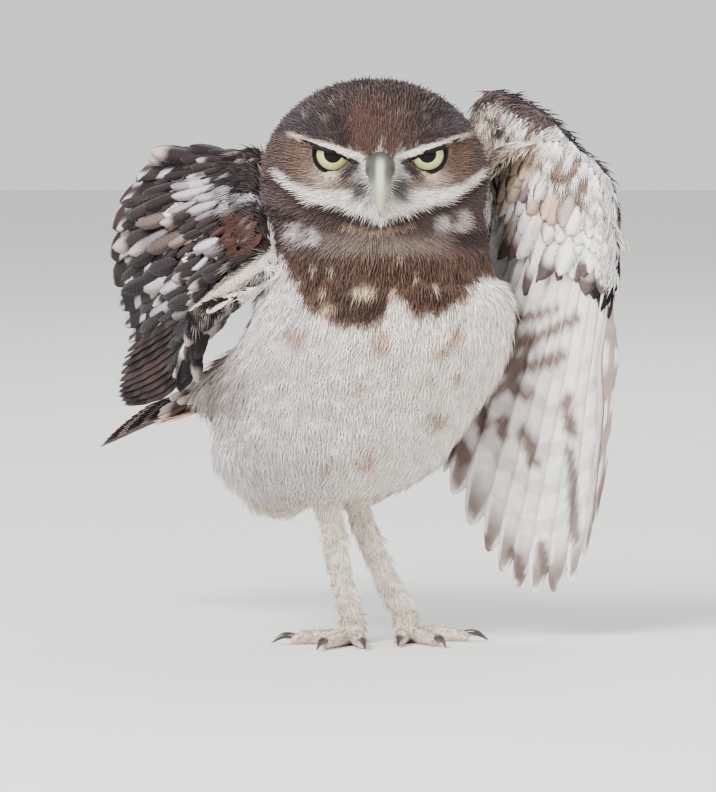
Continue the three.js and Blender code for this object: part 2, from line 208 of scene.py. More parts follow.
def along(values, t):  # a list of numbers or rows, read smoothly
    values = np.asarray(values, dtype=float)
    t = np.atleast_1d(t)
    x = np.minimum(t, 1) * (len(values) - 1)
    i = np.minimum(x.astype(int), len(values) - 2)
    s = x - i
    if values.ndim > 1:
        s = s[:, None]
    k = lambda j: values[np.clip(j, 0, len(values) - 1)]
    p, q, r, w = k(i - 1), k(i), k(i + 1), k(i + 2)
    return q + 0.5 * s * (r - p + s * (2 * p - 5 * q + 4 * r - w + s * (3 * (q - r) + w - p)))


class Heap:  # gathers closed shapes into one mesh
    def __init__(self):
        self.points, self.faces, self.count = [], [], 0

    def add(self, points, faces):
        self.points.append(np.asarray(points, dtype=float))
        self.faces += [tuple(int(i) + self.count for i in f) for f in faces]
        self.count += len(points)

    def all(self):
        return np.concatenate(self.points), self.faces


def ringFaces(rings, sides):  # the faces of stacked rings, closed at both ends
    faces = []
    for r in range(rings - 1):
        for i in range(sides):
            a, b = r * sides + i, r * sides + (i + 1) % sides
            faces.append((a, b, b + sides, a + sides))
    last = (rings - 1) * sides
    return faces + [tuple(range(sides - 1, -1, -1)), tuple(range(last, last + sides))]


def oval(centre, first, second, a, b, sides):
    turn = np.arange(sides) * 2 * math.pi / sides
    return centre + np.outer(a * np.cos(turn), first) + np.outer(b * np.sin(turn), second)


def limb(path, radii, sides=24, rings=24, flat=1, up=(0, 0, 1)):  # a tapering tube along a path
    t = np.linspace(0, 1, rings)
    middle = pathAt(path, t)
    tangent = unit(pathAt(path, np.minimum(t + 1e-3, 1)) - pathAt(path, np.maximum(t - 1e-3, 0)))
    across = unit(np.cross(np.asarray(up, dtype=float), tangent))
    above = np.cross(tangent, across)
    size = np.maximum(along(radii, t), 0.2)
    points = [oval(middle[i], across[i], above[i], size[i], size[i] * flat, sides) for i in range(rings)]
    return np.concatenate(points), ringFaces(rings, sides)


def ball(centre, radii, sides=40):  # radii along x, y and z
    rings = sides // 2
    turns = np.linspace(0.02, math.pi - 0.02, rings)
    points = [oval(centre + v3(0, 0, -math.cos(a) * radii[2]), v3(1, 0, 0), v3(0, 1, 0),
                   radii[0] * math.sin(a), radii[1] * math.sin(a), sides) for a in turns]
    return np.concatenate(points), ringFaces(rings, sides)


# A thin closed sheet over a grid of points, thinner to its long edges.
def sheet(grid, thickness):
    rows, columns = grid.shape[:2]
    down = np.gradient(grid, axis=0)
    across = np.gradient(grid, axis=1)
    out = unit(np.cross(down, across))
    half = np.asarray(thickness)[..., None] / 2
    top, under = (grid + out * half).reshape(-1, 3), (grid - out * half).reshape(-1, 3)
    count = rows * columns
    faces = []
    for r in range(rows - 1):
        for c in range(columns - 1):
            a = r * columns + c
            b, d, e = a + 1, a + columns, a + columns + 1
            faces += [(a, d, e, b), (count + a, count + b, count + e, count + d)]
    rim = list(range(columns)) + [r * columns + columns - 1 for r in range(1, rows)]
    rim += [(rows - 1) * columns + c for c in range(columns - 2, -1, -1)]
    rim += [r * columns for r in range(rows - 2, 0, -1)]
    for k, a in enumerate(rim):
        b = rim[(k + 1) % len(rim)]
        faces.append((a, b, count + b, count + a))
    return np.concatenate([top, under]), faces


# Node helpers.

def feed(tree, socket, value):  # links another node's output, or sets a plain value
    if isinstance(value, bpy.types.NodeSocket):
        tree.links.new(value, socket)
    else:
        socket.default_value = value


def put(tree, kind, inputs=None, **settings):  # adds a node, with its inputs linked or set
    node = tree.nodes.new(kind)
    for key, value in settings.items():
        setattr(node, key, value)
    for key, value in (inputs or {}).items():
        feed(tree, node.inputs[key], value)
    return node


def newTree(name, kind, inputs, outputs):  # inputs are [name, socket kind, starting value]
    tree = bpy.data.node_groups.new(name, kind)
    for label, socketKind, value in inputs:
        socket = tree.interface.new_socket(label, in_out="INPUT", socket_type=socketKind)
        if value is not None:
            socket.default_value = value
    for label, socketKind in outputs:
        tree.interface.new_socket(label, in_out="OUTPUT", socket_type=socketKind)
    return tree, tree.nodes.new("NodeGroupInput").outputs, tree.nodes.new("NodeGroupOutput").inputs


def maths(tree, operation, a, b=0.0, c=0.0):
    return put(tree, "ShaderNodeMath", {0: a, 1: b, 2: c}, operation=operation).outputs[0]


def vectorMaths(tree, operation, a, b=(0, 0, 0), scale=1.0):
    node = put(tree, "ShaderNodeVectorMath", {0: a}, operation=operation)
    if operation == "SCALE":
        feed(tree, node.inputs["Scale"], scale)
    else:
        feed(tree, node.inputs[1], b)
    return node.outputs[0]


def ramp(tree, value, low, high):  # 0 below low, 1 above high
    node = put(tree, "ShaderNodeMapRange", {"Value": value, "From Min": low, "From Max": high},
               interpolation_type="SMOOTHSTEP")
    return node.outputs["Result"]


def blendColours(tree, factor, a, b, kind="MIX"):
    node = tree.nodes.new("ShaderNodeMix")
    node.data_type = "RGBA"
    node.blend_type = kind
    for index, value in ((0, factor), (6, a), (7, b)):
        feed(tree, node.inputs[index], value)
    return node.outputs[2]


def shadedBy(tree, colour, factor):  # a colour made lighter or darker by one number
    grey = put(tree, "ShaderNodeCombineColor", {0: factor, 1: factor, 2: factor}).outputs[0]
    return blendColours(tree, 1.0, colour, grey, "MULTIPLY")


# Shared shader effects.

def makeMottle():  # soft patches of lighter and darker colour
    tree, given, result = newTree("mottle", "ShaderNodeTree", [
        ("Color", "NodeSocketColor", None), ("Scale", "NodeSocketFloat", 200.0),
        ("Strength", "NodeSocketFloat", 0.3)], [("Color", "NodeSocketColor")])
    place = put(tree, "ShaderNodeTexCoord").outputs["Object"]
    cloud = put(tree, "ShaderNodeTexNoise", {"Vector": place, "Scale": given["Scale"], "Detail": 3.0})
    lighter = maths(tree, "MULTIPLY_ADD", maths(tree, "SUBTRACT", cloud.outputs[0], 0.5),
                    maths(tree, "MULTIPLY", given["Strength"], 2.0), 1.0)
    tree.links.new(shadedBy(tree, given["Color"], lighter), result["Color"])
    return tree


def makeBarbs():  # fine slanting ridges on a feather, as a height and a faint shade
    tree, given, result = newTree("barbs", "ShaderNodeTree", [
        ("Map", "NodeSocketVector", None), ("Count", "NodeSocketFloat", 60.0),
        ("Slant", "NodeSocketFloat", 0.6)], [("Height", "NodeSocketFloat"), ("Shade", "NodeSocketFloat")])
    split = put(tree, "ShaderNodeSeparateXYZ", {0: given["Map"]})
    aside = maths(tree, "ABSOLUTE", maths(tree, "SUBTRACT", split.outputs[0], 0.5))
    slanted = maths(tree, "MULTIPLY_ADD", aside, maths(tree, "MULTIPLY", given["Slant"], -1.0),
                    split.outputs[1])
    wave = maths(tree, "SINE",
                 maths(tree, "MULTIPLY", maths(tree, "MULTIPLY", slanted, given["Count"]), math.tau))
    ridge = maths(tree, "MULTIPLY_ADD", wave, 0.5, 0.5)
    shaft = maths(tree, "SUBTRACT", 1.0, ramp(tree, aside, 0.0, 0.05))
    tree.links.new(maths(tree, "MAXIMUM", ridge, shaft), result["Height"])
    tree.links.new(maths(tree, "MULTIPLY_ADD", ridge, 0.18, 0.86), result["Shade"])
    return tree


mottleGroup = makeMottle()
barbsGroup = makeBarbs()


def newMaterial(name, **plain):  # the plain values are set on the shader's own sockets
    material = bpy.data.materials.new(name)
    material.use_nodes = True
    tree = material.node_tree
    shader = tree.nodes["Principled BSDF"]
    for key, value in plain.items():
        shader.inputs[key.replace("_", " ")].default_value = value
    return material, tree, shader


def useGroup(tree, group, inputs):
    node = tree.nodes.new("ShaderNodeGroup")
    node.node_tree = group
    for key, value in inputs.items():
        feed(tree, node.inputs[key], value)
    return node.outputs


def paintMottled(tree, shader, colour, scale, strength):
    out = useGroup(tree, mottleGroup, {"Color": colour, "Scale": scale, "Strength": strength})
    tree.links.new(out["Color"], shader.inputs["Base Color"])


def fineTexture(tree, kind, scale):  # fixed to the object, for a bump
    place = put(tree, "ShaderNodeTexCoord").outputs["Object"]
    return put(tree, kind, {"Vector": place, "Scale": scale}).outputs[0]


def attributeColour(tree, name):
    return put(tree, "ShaderNodeAttribute", attribute_name=name).outputs["Color"]


def attributeValue(tree, name):
    return put(tree, "ShaderNodeAttribute", attribute_name=name).outputs["Fac"]


def addBump(tree, shader, height, strength, distance):
    bump = put(tree, "ShaderNodeBump", {"Height": height, "Strength": strength, "Distance": distance})
    tree.links.new(bump.outputs["Normal"], shader.inputs["Normal"])


# Plumage: its colour comes from the root's and the tip's tint, with fine barbs.
def plumageMaterial(name, roughness=0.85, tipFrom=0.55, tipTo=0.8, barbCount=9.0):
    material, tree, shader = newMaterial(name, Roughness=roughness, Sheen_Weight=0.08, Specular_IOR_Level=0.2)
    leaf = put(tree, "ShaderNodeAttribute", attribute_name="leaf").outputs["Vector"]
    split = put(tree, "ShaderNodeSeparateXYZ", {0: leaf})
    colour = blendColours(tree, ramp(tree, split.outputs[1], tipFrom, tipTo),
                          attributeColour(tree, "tint"), attributeColour(tree, "tipTint"))
    barbs = useGroup(tree, barbsGroup, {"Map": leaf, "Count": barbCount, "Slant": 0.5})
    varied = maths(tree, "MULTIPLY", barbs["Shade"], attributeValue(tree, "vary"))
    colour = shadedBy(tree, colour, varied)
    paintMottled(tree, shader, colour, 420.0, 0.22)
    addBump(tree, shader, barbs["Height"], 0.35, 0.0002)
    return material


# Leaves that the coat is made of.

def leafPiece(name, points, faces, leafMap):
    mesh = bpy.data.meshes.new(name)
    mesh.from_pydata(np.asarray(points, dtype=float).tolist(), [], [tuple(int(i) for i in f) for f in faces])
    mesh.polygons.foreach_set("use_smooth", [True] * len(mesh.polygons))
    setAttribute(mesh, "leaf", "FLOAT_VECTOR", np.c_[leafMap, np.zeros(len(leafMap))])
    piece = newObject(name, mesh)
    piece.hide_render = True
    return piece


def makeBlade(name, stations, widths, thick=0.05, curl=-0.16, crown=0.09):
    stations, widths = np.array(stations), np.array(widths)
    n = len(stations)
    middleZ = curl * stations**2
    left = np.c_[-widths, stations, middleZ - 0.25 * widths**2]
    right = left * [-1, 1, 1]
    top = np.c_[np.zeros(n), stations, middleZ + crown * np.minimum(widths * 3, 1)]
    under = np.c_[np.zeros(n), stations, middleZ - thick]
    faces = []
    for i in range(n - 1):
        l, r, t, u = i, n + i, 2 * n + i, 3 * n + i
        faces += [(l, t, t + 1, l + 1), (t, r, r + 1, t + 1), (r, u, u + 1, r + 1), (u, l, l + 1, u + 1)]
    faces += [(0, 3 * n, n, 2 * n), (n - 1, 3 * n - 1, 2 * n - 1, 4 * n - 1)]
    points = np.concatenate([left, right, top, under])
    leafMap = np.c_[points[:, 0] + 0.5, points[:, 1]]
    return leafPiece(name, points, faces, leafMap)


def makeTuft(name, barbs, spread, thick, rise=0.15, curl=-0.35, seed=3):
    dice = np.random.default_rng(seed)
    heap, maps = Heap(), []
    for b in range(barbs):
        aside = (b / max(barbs - 1, 1) - 0.5) * 2
        heading = aside * spread
        length = 1 - 0.3 * aside**2 + dice.uniform(-0.12, 0.12)
        lift = rise * (1 - aside**2) + dice.uniform(-0.05, 0.08)
        rows = []
        for s, size in ((0, 0.8), (0.5, 1.0)):
            centre = v3(math.sin(heading) * s * length + aside * 0.06, math.cos(heading) * s * length,
                        lift * s + curl * s * s * 0.5)
            rows.append(oval(centre, v3(1, 0, 0), v3(0, 0, 1), thick * size, thick * size * 0.8, 3))
        tip = v3(math.sin(heading * 1.15) * length, math.cos(heading) * length, lift + curl * 0.5)
        points = np.concatenate(rows + [tip[None]])
        faces = [(0, 1, 4, 3), (1, 2, 5, 4), (2, 0, 3, 5), (3, 4, 6), (4, 5, 6), (5, 3, 6), (2, 1, 0)]
        heap.add(points, faces)
        maps.append(np.c_[np.clip(points[:, 0] * 0.5 + 0.5, 0, 1), np.clip(points[:, 1], 0, 1)])
    points, faces = heap.all()
    return leafPiece(name, points, faces, np.concatenate(maps))


leaves = {
    "contour": makeBlade("contourLeaf", [0, 0.3, 0.6, 0.85, 1], [0.14, 0.42, 0.5, 0.34, 0.04], thick=0.02,
                         crown=0.05),
    "covert": makeBlade("covertLeaf", [0, 0.15, 0.35, 0.6, 0.8, 0.93, 1],
                        [0.1, 0.3, 0.45, 0.5, 0.42, 0.22, 0.03],
                        thick=0.015, curl=-0.06, crown=0.03),
    "down": makeTuft("downTuft", 6, 0.5, 0.036),
    "fluff": makeTuft("fluffTuft", 5, 0.6, 0.024, seed=12),
    "wisp": makeTuft("wispTuft", 3, 0.34, 0.05, seed=5),
    "plume": makeTuft("plumeTuft", 7, 0.55, 0.05, seed=8),
    "hair": makeTuft("hairTuft", 2, 0.1, 0.022, seed=9),
}


# The trees that set the coat on a skin or along rows.

def makeDressTree():
    tree, given, result = newTree("dress", "GeometryNodeTree", [
        ("Points", "NodeSocketGeometry", None), ("Leaf", "NodeSocketObject", None),
        ("Rise", "NodeSocketFloat", 0.2), ("Jitter", "NodeSocketFloat", 0.15),
        ("Size vary", "NodeSocketFloat", 0.2), ("Patch", "NodeSocketFloat", 0.003),
        ("Seed", "NodeSocketInt", 1), ("Material", "NodeSocketMaterial", None)],
        [("Geometry", "NodeSocketGeometry")])

    def read(name, kind):
        return put(tree, "GeometryNodeInputNamedAttribute", {"Name": name},
                   data_type=kind).outputs["Attribute"]

    def dice(low, high, offset, kind="FLOAT"):
        seed = put(tree, "ShaderNodeMath", {0: given["Seed"], 1: float(offset)}, operation="ADD").outputs[0]
        names = {"Min": low, "Max": high, "Seed": seed}
        node = tree.nodes.new("FunctionNodeRandomValue")
        node.data_type = kind
        for socket in [s for s in node.inputs if s.enabled and s.name in names]:
            feed(tree, socket, names[socket.name])
        return [s for s in node.outputs if s.enabled][0]

    outward, lie = read("outward", "FLOAT_VECTOR"), read("lie", "FLOAT_VECTOR")
    wander = vectorMaths(tree, "SCALE", dice((-1, -1, -1), (1, 1, 1), 1, "FLOAT_VECTOR"),
                         scale=given["Jitter"])
    raised = vectorMaths(tree, "SCALE", outward, scale=given["Rise"])
    heading = vectorMaths(tree, "ADD", vectorMaths(tree, "ADD", lie, raised), wander)
    turn = put(tree, "FunctionNodeAxesToRotation", {0: heading, 1: outward}, primary_axis="Y",
               secondary_axis="Z")
    half = maths(tree, "MULTIPLY", given["Size vary"], -1.0)
    twice = maths(tree, "MULTIPLY", given["Size vary"], 2.0)
    grown = maths(tree, "ADD", 1.0, maths(tree, "MULTIPLY_ADD", dice(0.0, 1.0, 2), twice, half))
    length, width = read("length", "FLOAT"), read("width", "FLOAT")
    wide, tall = maths(tree, "MULTIPLY", width, grown), maths(tree, "MULTIPLY", length, grown)
    size = put(tree, "ShaderNodeCombineXYZ", {0: wide, 1: tall, 2: tall}).outputs[0]
    varied = put(tree, "GeometryNodeStoreNamedAttribute",
                 {"Geometry": given["Points"], "Name": "vary", "Value": dice(0.82, 1.12, 3)},
                 data_type="FLOAT", domain="POINT")
    info = put(tree, "GeometryNodeObjectInfo", {"Object": given["Leaf"]})
    placed = put(tree, "GeometryNodeInstanceOnPoints", {
        "Points": varied.outputs[0], "Instance": info.outputs["Geometry"],
        "Rotation": turn.outputs[0], "Scale": size})
    real = put(tree, "GeometryNodeRealizeInstances", {0: placed.outputs[0]})
    patch = vectorMaths(tree, "ADD", read("patchRoot", "FLOAT_VECTOR"),
                        vectorMaths(tree, "SCALE", read("leaf", "FLOAT_VECTOR"), scale=given["Patch"]))
    baked = put(tree, "GeometryNodeStoreNamedAttribute",
                {"Geometry": real.outputs[0], "Name": "OFBake", "Value": patch},
                data_type="FLOAT2", domain="CORNER")
    done = put(tree, "GeometryNodeSetMaterial", {"Geometry": baked.outputs[0], "Material": given["Material"]})
    tree.links.new(done.outputs[0], result[0])
    return tree


def makeCoatTree(dress):
    tree, given, result = newTree("coat", "GeometryNodeTree", [
        ("Geometry", "NodeSocketGeometry", None), ("Leaf", "NodeSocketObject", None),
        ("Region", "NodeSocketString", "everywhere"), ("Spacing", "NodeSocketFloat", 0.002),
        ("Rise", "NodeSocketFloat", 0.2), ("Jitter", "NodeSocketFloat", 0.15),
        ("Size vary", "NodeSocketFloat", 0.2), ("Seed", "NodeSocketInt", 1),
        ("Material", "NodeSocketMaterial", None)], [("Geometry", "NodeSocketGeometry")])
    region = put(tree, "GeometryNodeInputNamedAttribute", {"Name": given["Region"]}, data_type="FLOAT")
    crowd = maths(tree, "DIVIDE", 2.0, maths(tree, "MULTIPLY", given["Spacing"], given["Spacing"]))
    spread = put(tree, "GeometryNodeDistributePointsOnFaces", {
        "Mesh": given["Geometry"], "Distance Min": given["Spacing"], "Density Max": crowd,
        "Density Factor": region.outputs["Attribute"], "Seed": given["Seed"]}, distribute_method="POISSON")
    facing = put(tree, "GeometryNodeStoreNamedAttribute",
                 {"Geometry": spread.outputs["Points"], "Name": "outward", "Value": spread.outputs["Normal"]},
                 data_type="FLOAT_VECTOR", domain="POINT")
    dressed = tree.nodes.new("GeometryNodeGroup")
    dressed.node_tree = dress
    tree.links.new(facing.outputs[0], dressed.inputs["Points"])
    for name in ("Leaf", "Rise", "Jitter", "Size vary", "Seed", "Material"):
        tree.links.new(given[name], dressed.inputs[name])
    tree.links.new(dressed.outputs[0], result[0])
    return tree


dressTree = makeDressTree()
coatTree = makeCoatTree(dressTree)
keptAttributes = {"leaf", "tint", "tipTint", "vary", "OFBake", "position", "sharp_face", "sharp_edge",
                  "material_index", ".corner_vert", ".corner_edge", ".edge_verts", ".poly_offset"}


def grow(name, source, tree, **inputs):  # runs a tree over a piece and keeps the plain mesh
    carrier = newObject(name + "Carrier", source.data)
    modifier = carrier.modifiers.new("coat", "NODES")
    modifier.node_group = tree
    for item in tree.interface.items_tree:
        key = item.name.replace(" ", "_")
        if item.item_type == "SOCKET" and item.in_out == "INPUT" and key in inputs:
            modifier[item.identifier] = inputs[key]
    carrier.update_tag()
    grown = carrier.evaluated_get(bpy.context.evaluated_depsgraph_get())
    mesh = bpy.data.meshes.new_from_object(grown)
    mesh.name = name
    carrier.modifiers.remove(modifier)
    bpy.data.objects.remove(carrier)
    for held in [a.name for a in mesh.attributes]:
        if held not in keptAttributes and not held.startswith("."):
            mesh.attributes.remove(mesh.attributes[held])
    piece = newObject(name, mesh)
    print(f"{name}: {sum(len(p.vertices) - 2 for p in mesh.polygons)} triangles")
    return piece


def finishPiece(piece, slot, *nodes):  # the nodes are the solids that the piece stands for
    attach(piece, "root")
    if nodes:
        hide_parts(*nodes)
    return piece


# Camera, floor and light.

studio = {
    "floorHalf": 3.0, "floor": (0.72, 0.71, 0.69), "sky": (0.97, 0.98, 1.0), "skyStrength": 1.05,
    "lampsAim": (0, 0, 0.09),
    "lamps": {  # each place, size and power
        "key": [(-0.8, -1.2, 1.3), 0.9, 74.0],
        "fill": [(1.3, -1.0, 0.5), 1.2, 20.0],
        "rim": [(0.4, 1.2, 1.2), 0.8, 14.0],
    },
}


def placeLooking(item, place, toward):  # sets an object at a place, looking along a direction
    item.matrix_world = Matrix.Translation(place) @ toward.to_track_quat("-Z", "Y").to_matrix().to_4x4()
    bpy.context.scene.collection.objects.link(item)


def makeStudio():
    elevation, distance = viewing["elevation"], viewing["distance"]
    forward = Vector((0, math.cos(elevation), -math.sin(elevation)))
    aim = Vector(toRow(viewing["aim"]))
    data = bpy.data.cameras.new("photoCamera")
    data.lens = data.sensor_width * distance / viewing["across"]
    camera = bpy.data.objects.new("photoCamera", data)
    placeLooking(camera, aim - forward * distance, forward)
    bpy.context.scene.camera = camera

    half = studio["floorHalf"]
    mesh = bpy.data.meshes.new("studioFloor")
    mesh.from_pydata([(-half, -half, 0), (half, -half, 0), (half, half, 0), (-half, half, 0)], [],
                     [(0, 1, 2, 3)])
    floor = newObject("studioFloor", mesh)
    material, tree, shader = newMaterial("paleFloor", Roughness=0.9)
    paintMottled(tree, shader, (*studio["floor"], 1), 6.0, 0.02)
    mesh.materials.append(material)

    world = bpy.data.worlds.new("softSky")
    bpy.context.scene.world = world
    world.use_nodes = True
    sky = world.node_tree.nodes["Background"]
    sky.inputs["Color"].default_value = (*studio["sky"], 1)
    sky.inputs["Strength"].default_value = studio["skyStrength"]
    for name, (spot, size, power) in studio["lamps"].items():
        lamp = bpy.data.lights.new(name, "AREA")
        lamp.size, lamp.energy = size, power
        placeLooking(bpy.data.objects.new(name, lamp), Vector(spot),
                     Vector(studio["lampsAim"]) - Vector(spot))


makeStudio()
print("studio ready")


# The skin under the plumage.

def headSurface(direction):  # the same squarish ovoid with soft swellings as the solid head
    half, full = owl["headHalf"], owl["headFullness"]
    x, y, z = direction.T
    sides = np.c_[np.full(len(x), half["side"]), np.where(y < 0, half["front"], half["back"]),
                  np.where(z < 0, half["down"], half["up"])]
    power = mixed(full["down"], full["up"], smooth(z, -0.4, 0.4))
    reach = (np.abs(direction / sides) ** power[:, None]).sum(axis=1)
    p = direction * (reach ** (-1 / power))[:, None] + owl["headCentre"]
    aside = np.abs(p[:, 0] - owl["faceMiddle"])
    eyeGap = np.hypot(aside - owl["eyeApart"], p[:, 2] - owl["eyeHeight"])
    t = np.clip((aside - 5) / 25, 0, 1)
    browGap = np.hypot(np.maximum(np.maximum(aside - 30, 5 - aside), 0), p[:, 2] - mixed(158, 166.5, t))
    billGap = np.hypot(aside, (p[:, 2] - 150) * 0.7)
    moustacheGap = np.abs(p[:, 2] - 137 - aside * 0.42)
    out = -2.4 * swell(eyeGap, 8) + 2.6 * swell(browGap, 3.2) + 3.2 * swell(billGap, 6.5)
    out = out + 1.2 * swell(moustacheGap, 4)
    return p + direction * (out * np.clip(-y * 1.6, 0, 1))[:, None]


legs = {
    "right": {"hip": v3(-25, 8, 64), "heel": v3(-15, 6, 47), "foot": v3(-6, 3, 3), "turn": -4, "side": -1},
    "left": {"hip": v3(0, 15, 62), "heel": v3(-5, 15, 45), "foot": v3(11, 12, 3), "turn": 6, "side": 1},
}
toes = {"inner": (-12, 17), "middle": (18, 21), "outer": (72, 17), "back": (168, 11)}


def toePath(name, toe):
    leg = legs[name]
    angle, length = toes[toe]
    heading = math.radians(leg["side"] * angle + leg["turn"])
    way = v3(math.sin(heading), -math.cos(heading), 0)
    return lambda reach, z: v3(leg["foot"][0], leg["foot"][1], z) + way * reach, length


lidCut = {"opening": 5.8, "corners": (24, -162)}  # a round opening, cut by a straight lid at two angles


def eyeCentre(side):
    return v3(owl["faceMiddle"] + side * owl["eyeApart"], owl["eyeDepth"], owl["eyeHeight"])


def eyeOutline(turn):  # how far the lids' opening reaches at an angle round the eye, outer side at 0
    opening = lidCut["opening"]
    outer, inner = (opening * np.array([math.cos(a), math.sin(a)])
                    for a in map(math.radians, lidCut["corners"]))
    normal = np.array([-(outer - inner)[1], (outer - inner)[0]])
    normal = normal / np.linalg.norm(normal)
    facing = np.cos(turn) * normal[0] + np.sin(turn) * normal[1]
    limit = np.dot(outer, normal)
    return np.where(facing > 1e-3, np.minimum(opening, limit / np.maximum(facing, 1e-3)), opening)


def eyeReading(points, side):  # distance past the opening's edge, seen from in front of one eye
    x = side * (points[:, 0] - owl["faceMiddle"] - side * owl["eyeApart"])
    z = points[:, 2] - owl["eyeHeight"]
    return np.hypot(x, z) - eyeOutline(np.arctan2(z, x))


def remeshed(name, heap, voxel, rounds, inward):  # one skin over overlapping shapes, sunk by inward
    points, faces = heap.all()
    rough = makePiece(name + "Rough", points, faces)
    remesh = rough.modifiers.new("remesh", "REMESH")
    remesh.mode, remesh.voxel_size = "VOXEL", voxel
    soften = rough.modifiers.new("soften", "SMOOTH")
    soften.factor, soften.iterations = 0.5, rounds
    mesh = bpy.data.meshes.new_from_object(rough.evaluated_get(bpy.context.evaluated_depsgraph_get()))
    mesh.name = name
    bpy.data.objects.remove(rough)
    place = pointsOf(mesh) - normalsOf(mesh) * inward
    mesh.polygons.foreach_set("use_smooth", [True] * len(mesh.polygons))
    movePoints(mesh, place)
    return newObject(name, mesh)


def unwrap(piece):  # its OFBake map, also kept as the place that each feather's patch starts from
    bpy.context.view_layer.objects.active = piece
    for other in bpy.context.selected_objects:
        other.select_set(False)
    piece.select_set(True)
    piece.data.uv_layers.new(name="OFBake")
    bpy.ops.object.mode_set(mode="EDIT")
    bpy.ops.mesh.select_all(action="SELECT")
    bpy.ops.uv.smart_project(angle_limit=math.radians(66), island_margin=0.002)
    bpy.ops.object.mode_set(mode="OBJECT")
    flat = np.zeros(len(piece.data.loops) * 2, np.float32)
    piece.data.uv_layers["OFBake"].data.foreach_get("uv", flat)
    flat = flat.reshape(-1, 2)
    setAttribute(piece.data, "patchRoot", "FLOAT_VECTOR", np.c_[flat, np.zeros(len(flat))], "CORNER")


torsoRings = [  # each [height, middle x, middle y, half width, half depth]
    [43, -16, 24, 14, 15], [50, -15.5, 22, 28, 28], [58, -13, 20, 36, 37], [68, -10, 18, 40, 42],
    [87, -2, 14, 44, 43], [103, 3.5, 10, 42.5, 40], [113, 4.5, 8, 40, 37], [119, 4, 7.5, 34.5, 32],
    [122.5, 3, 7, 24, 22],
]
neckRings = [[116, 37, 32], [123, 36, 31], [130, 35.5, 30], [137, 34, 27]]  # [height, half width, half depth]
bodySkin = {
    "voxel": 0.0010, "rounds": 8, "rump": [v3(-14, 30, 90), v3(-32, 46, 82)], "rumpRadii": [22, 20, 11, 6],
    "vent": v3(-29, 34, 54), "ventRadii": (14, 15, 16), "thighRadii": [12, 9.5, 5],
    "shankRadii": [4.4, 4.6, 4.2, 4.2], "eyeSocket": 9.6, "eyeHollow": 6.6,
}


def makeBodySkin():
    heap = Heap()
    rows = along(torsoRings, np.linspace(0, 1, 48))
    torso = [oval(v3(x, y, z), v3(1, 0, 0), v3(0, 1, 0), a, b, 72) for z, x, y, a, b in rows]
    heap.add(np.concatenate(torso), ringFaces(48, 72))
    root, tip = owl["tailRoot"], owl["tailTip"]
    heap.add(*limb([*bodySkin["rump"], root, mixed(root, tip, 0.12)], bodySkin["rumpRadii"], 40, 30, 0.8))
    heap.add(*ball(bodySkin["vent"], bodySkin["ventRadii"]))
    neck = [oval(v3(owl["faceMiddle"], 5, z), v3(1, 0, 0), v3(0, 1, 0), a, b, 64)
            for z, a, b in along(neckRings, np.linspace(0, 1, 16))]
    heap.add(np.concatenate(neck), ringFaces(16, 64))
    rings, sides = 90, 140
    tilt = np.linspace(0.01, math.pi - 0.01, rings)
    turn = np.arange(sides) * math.tau / sides
    grid = np.array([[math.sin(a) * math.cos(b), math.sin(a) * math.sin(b), -math.cos(a)] for a in tilt
                     for b in turn])
    heap.add(headSurface(grid), ringFaces(rings, sides))
    for leg in legs.values():
        heap.add(*limb([leg["hip"], mixed(leg["hip"], leg["heel"], 0.55), leg["heel"]],
                       bodySkin["thighRadii"]))
        heap.add(*limb([mixed(leg["heel"], leg["hip"], 0.12), leg["heel"],
                        mixed(leg["heel"], leg["foot"], 0.5),
                        v3(leg["foot"][0], leg["foot"][1], 8)], bodySkin["shankRadii"], 24, 24, 1, (0, 1, 0)))
    for side in (-1, 1):
        heap.add(*ball(eyeCentre(side), [bodySkin["eyeSocket"]] * 3))
    return remeshed("body_skin", heap, bodySkin["voxel"], bodySkin["rounds"], owl["coatDepth"])


body = makeBodySkin()
print(f"skin: {len(body.data.polygons)} faces")

# The skin sinks behind each eye so that the eye's ball shows in the lids' opening.
bodyPoints = pointsOf(body.data)
eyeRim = np.full(len(bodyPoints), 99.0)
for side in (-1, 1):
    gap = eyeReading(bodyPoints, side)
    eye = eyeCentre(side)
    front = bodyPoints[:, 1] < owl["eyeDepth"] + 2
    sink = front * (1 - smooth(gap, 0.2, 1.0))
    inner = eye + unit(bodyPoints - eye) * bodySkin["eyeHollow"]
    bodyPoints = bodyPoints + (inner - bodyPoints) * sink[:, None]
    eyeRim = np.minimum(eyeRim, np.where(front, gap, 99))
movePoints(body.data, bodyPoints)


# Markings.

tints = {key: srgb(*shown) for key, shown in {
    "crown": (68, 51, 49), "crownDark": (44, 33, 36), "templeShade": (94, 82, 90), "forehead": (104, 76, 64),
    "white": (244, 238, 230), "lore": (205, 200, 192), "cheek": (130, 103, 88),
    "cheekPale": (208, 190, 174), "ruffAndShade": (92, 73, 70), "dark": (48, 34, 30), "bib": (98, 72, 60),
    "bibDark": (64, 47, 42), "belly": (252, 244, 234), "bellyGreyAndShade": (240, 232, 232),
    "smudge": (196, 158, 124), "ochre": (158, 116, 74), "back": (84, 62, 53), "backDark": (56, 42, 38),
    "spot": (226, 212, 196), "leg": (240, 228, 212), "flank": (168, 152, 146), "chestnut": (84, 54, 42),
    "collar": (150, 132, 120), "bristle": (58, 52, 52), "browCream": (220, 190, 162),
    "browBuff": (214, 182, 152), "chinBuff": (196, 164, 136), "ashen": (222, 212, 208),
    "neckFoldShade": (44, 30, 28), "bibRust": (140, 98, 70), "bibSpot": (222, 196, 168), "whisker": (60, 50, 48),
}.items()}


def spots(x, z, marks):  # soft round marks, each [x, z, size]
    mask = np.zeros(len(x))
    for mx, mz, size in marks:
        mask = np.maximum(mask, 1 - smooth(np.hypot(x - mx, z - mz), size * 0.6, size * 1.25))
    return mask


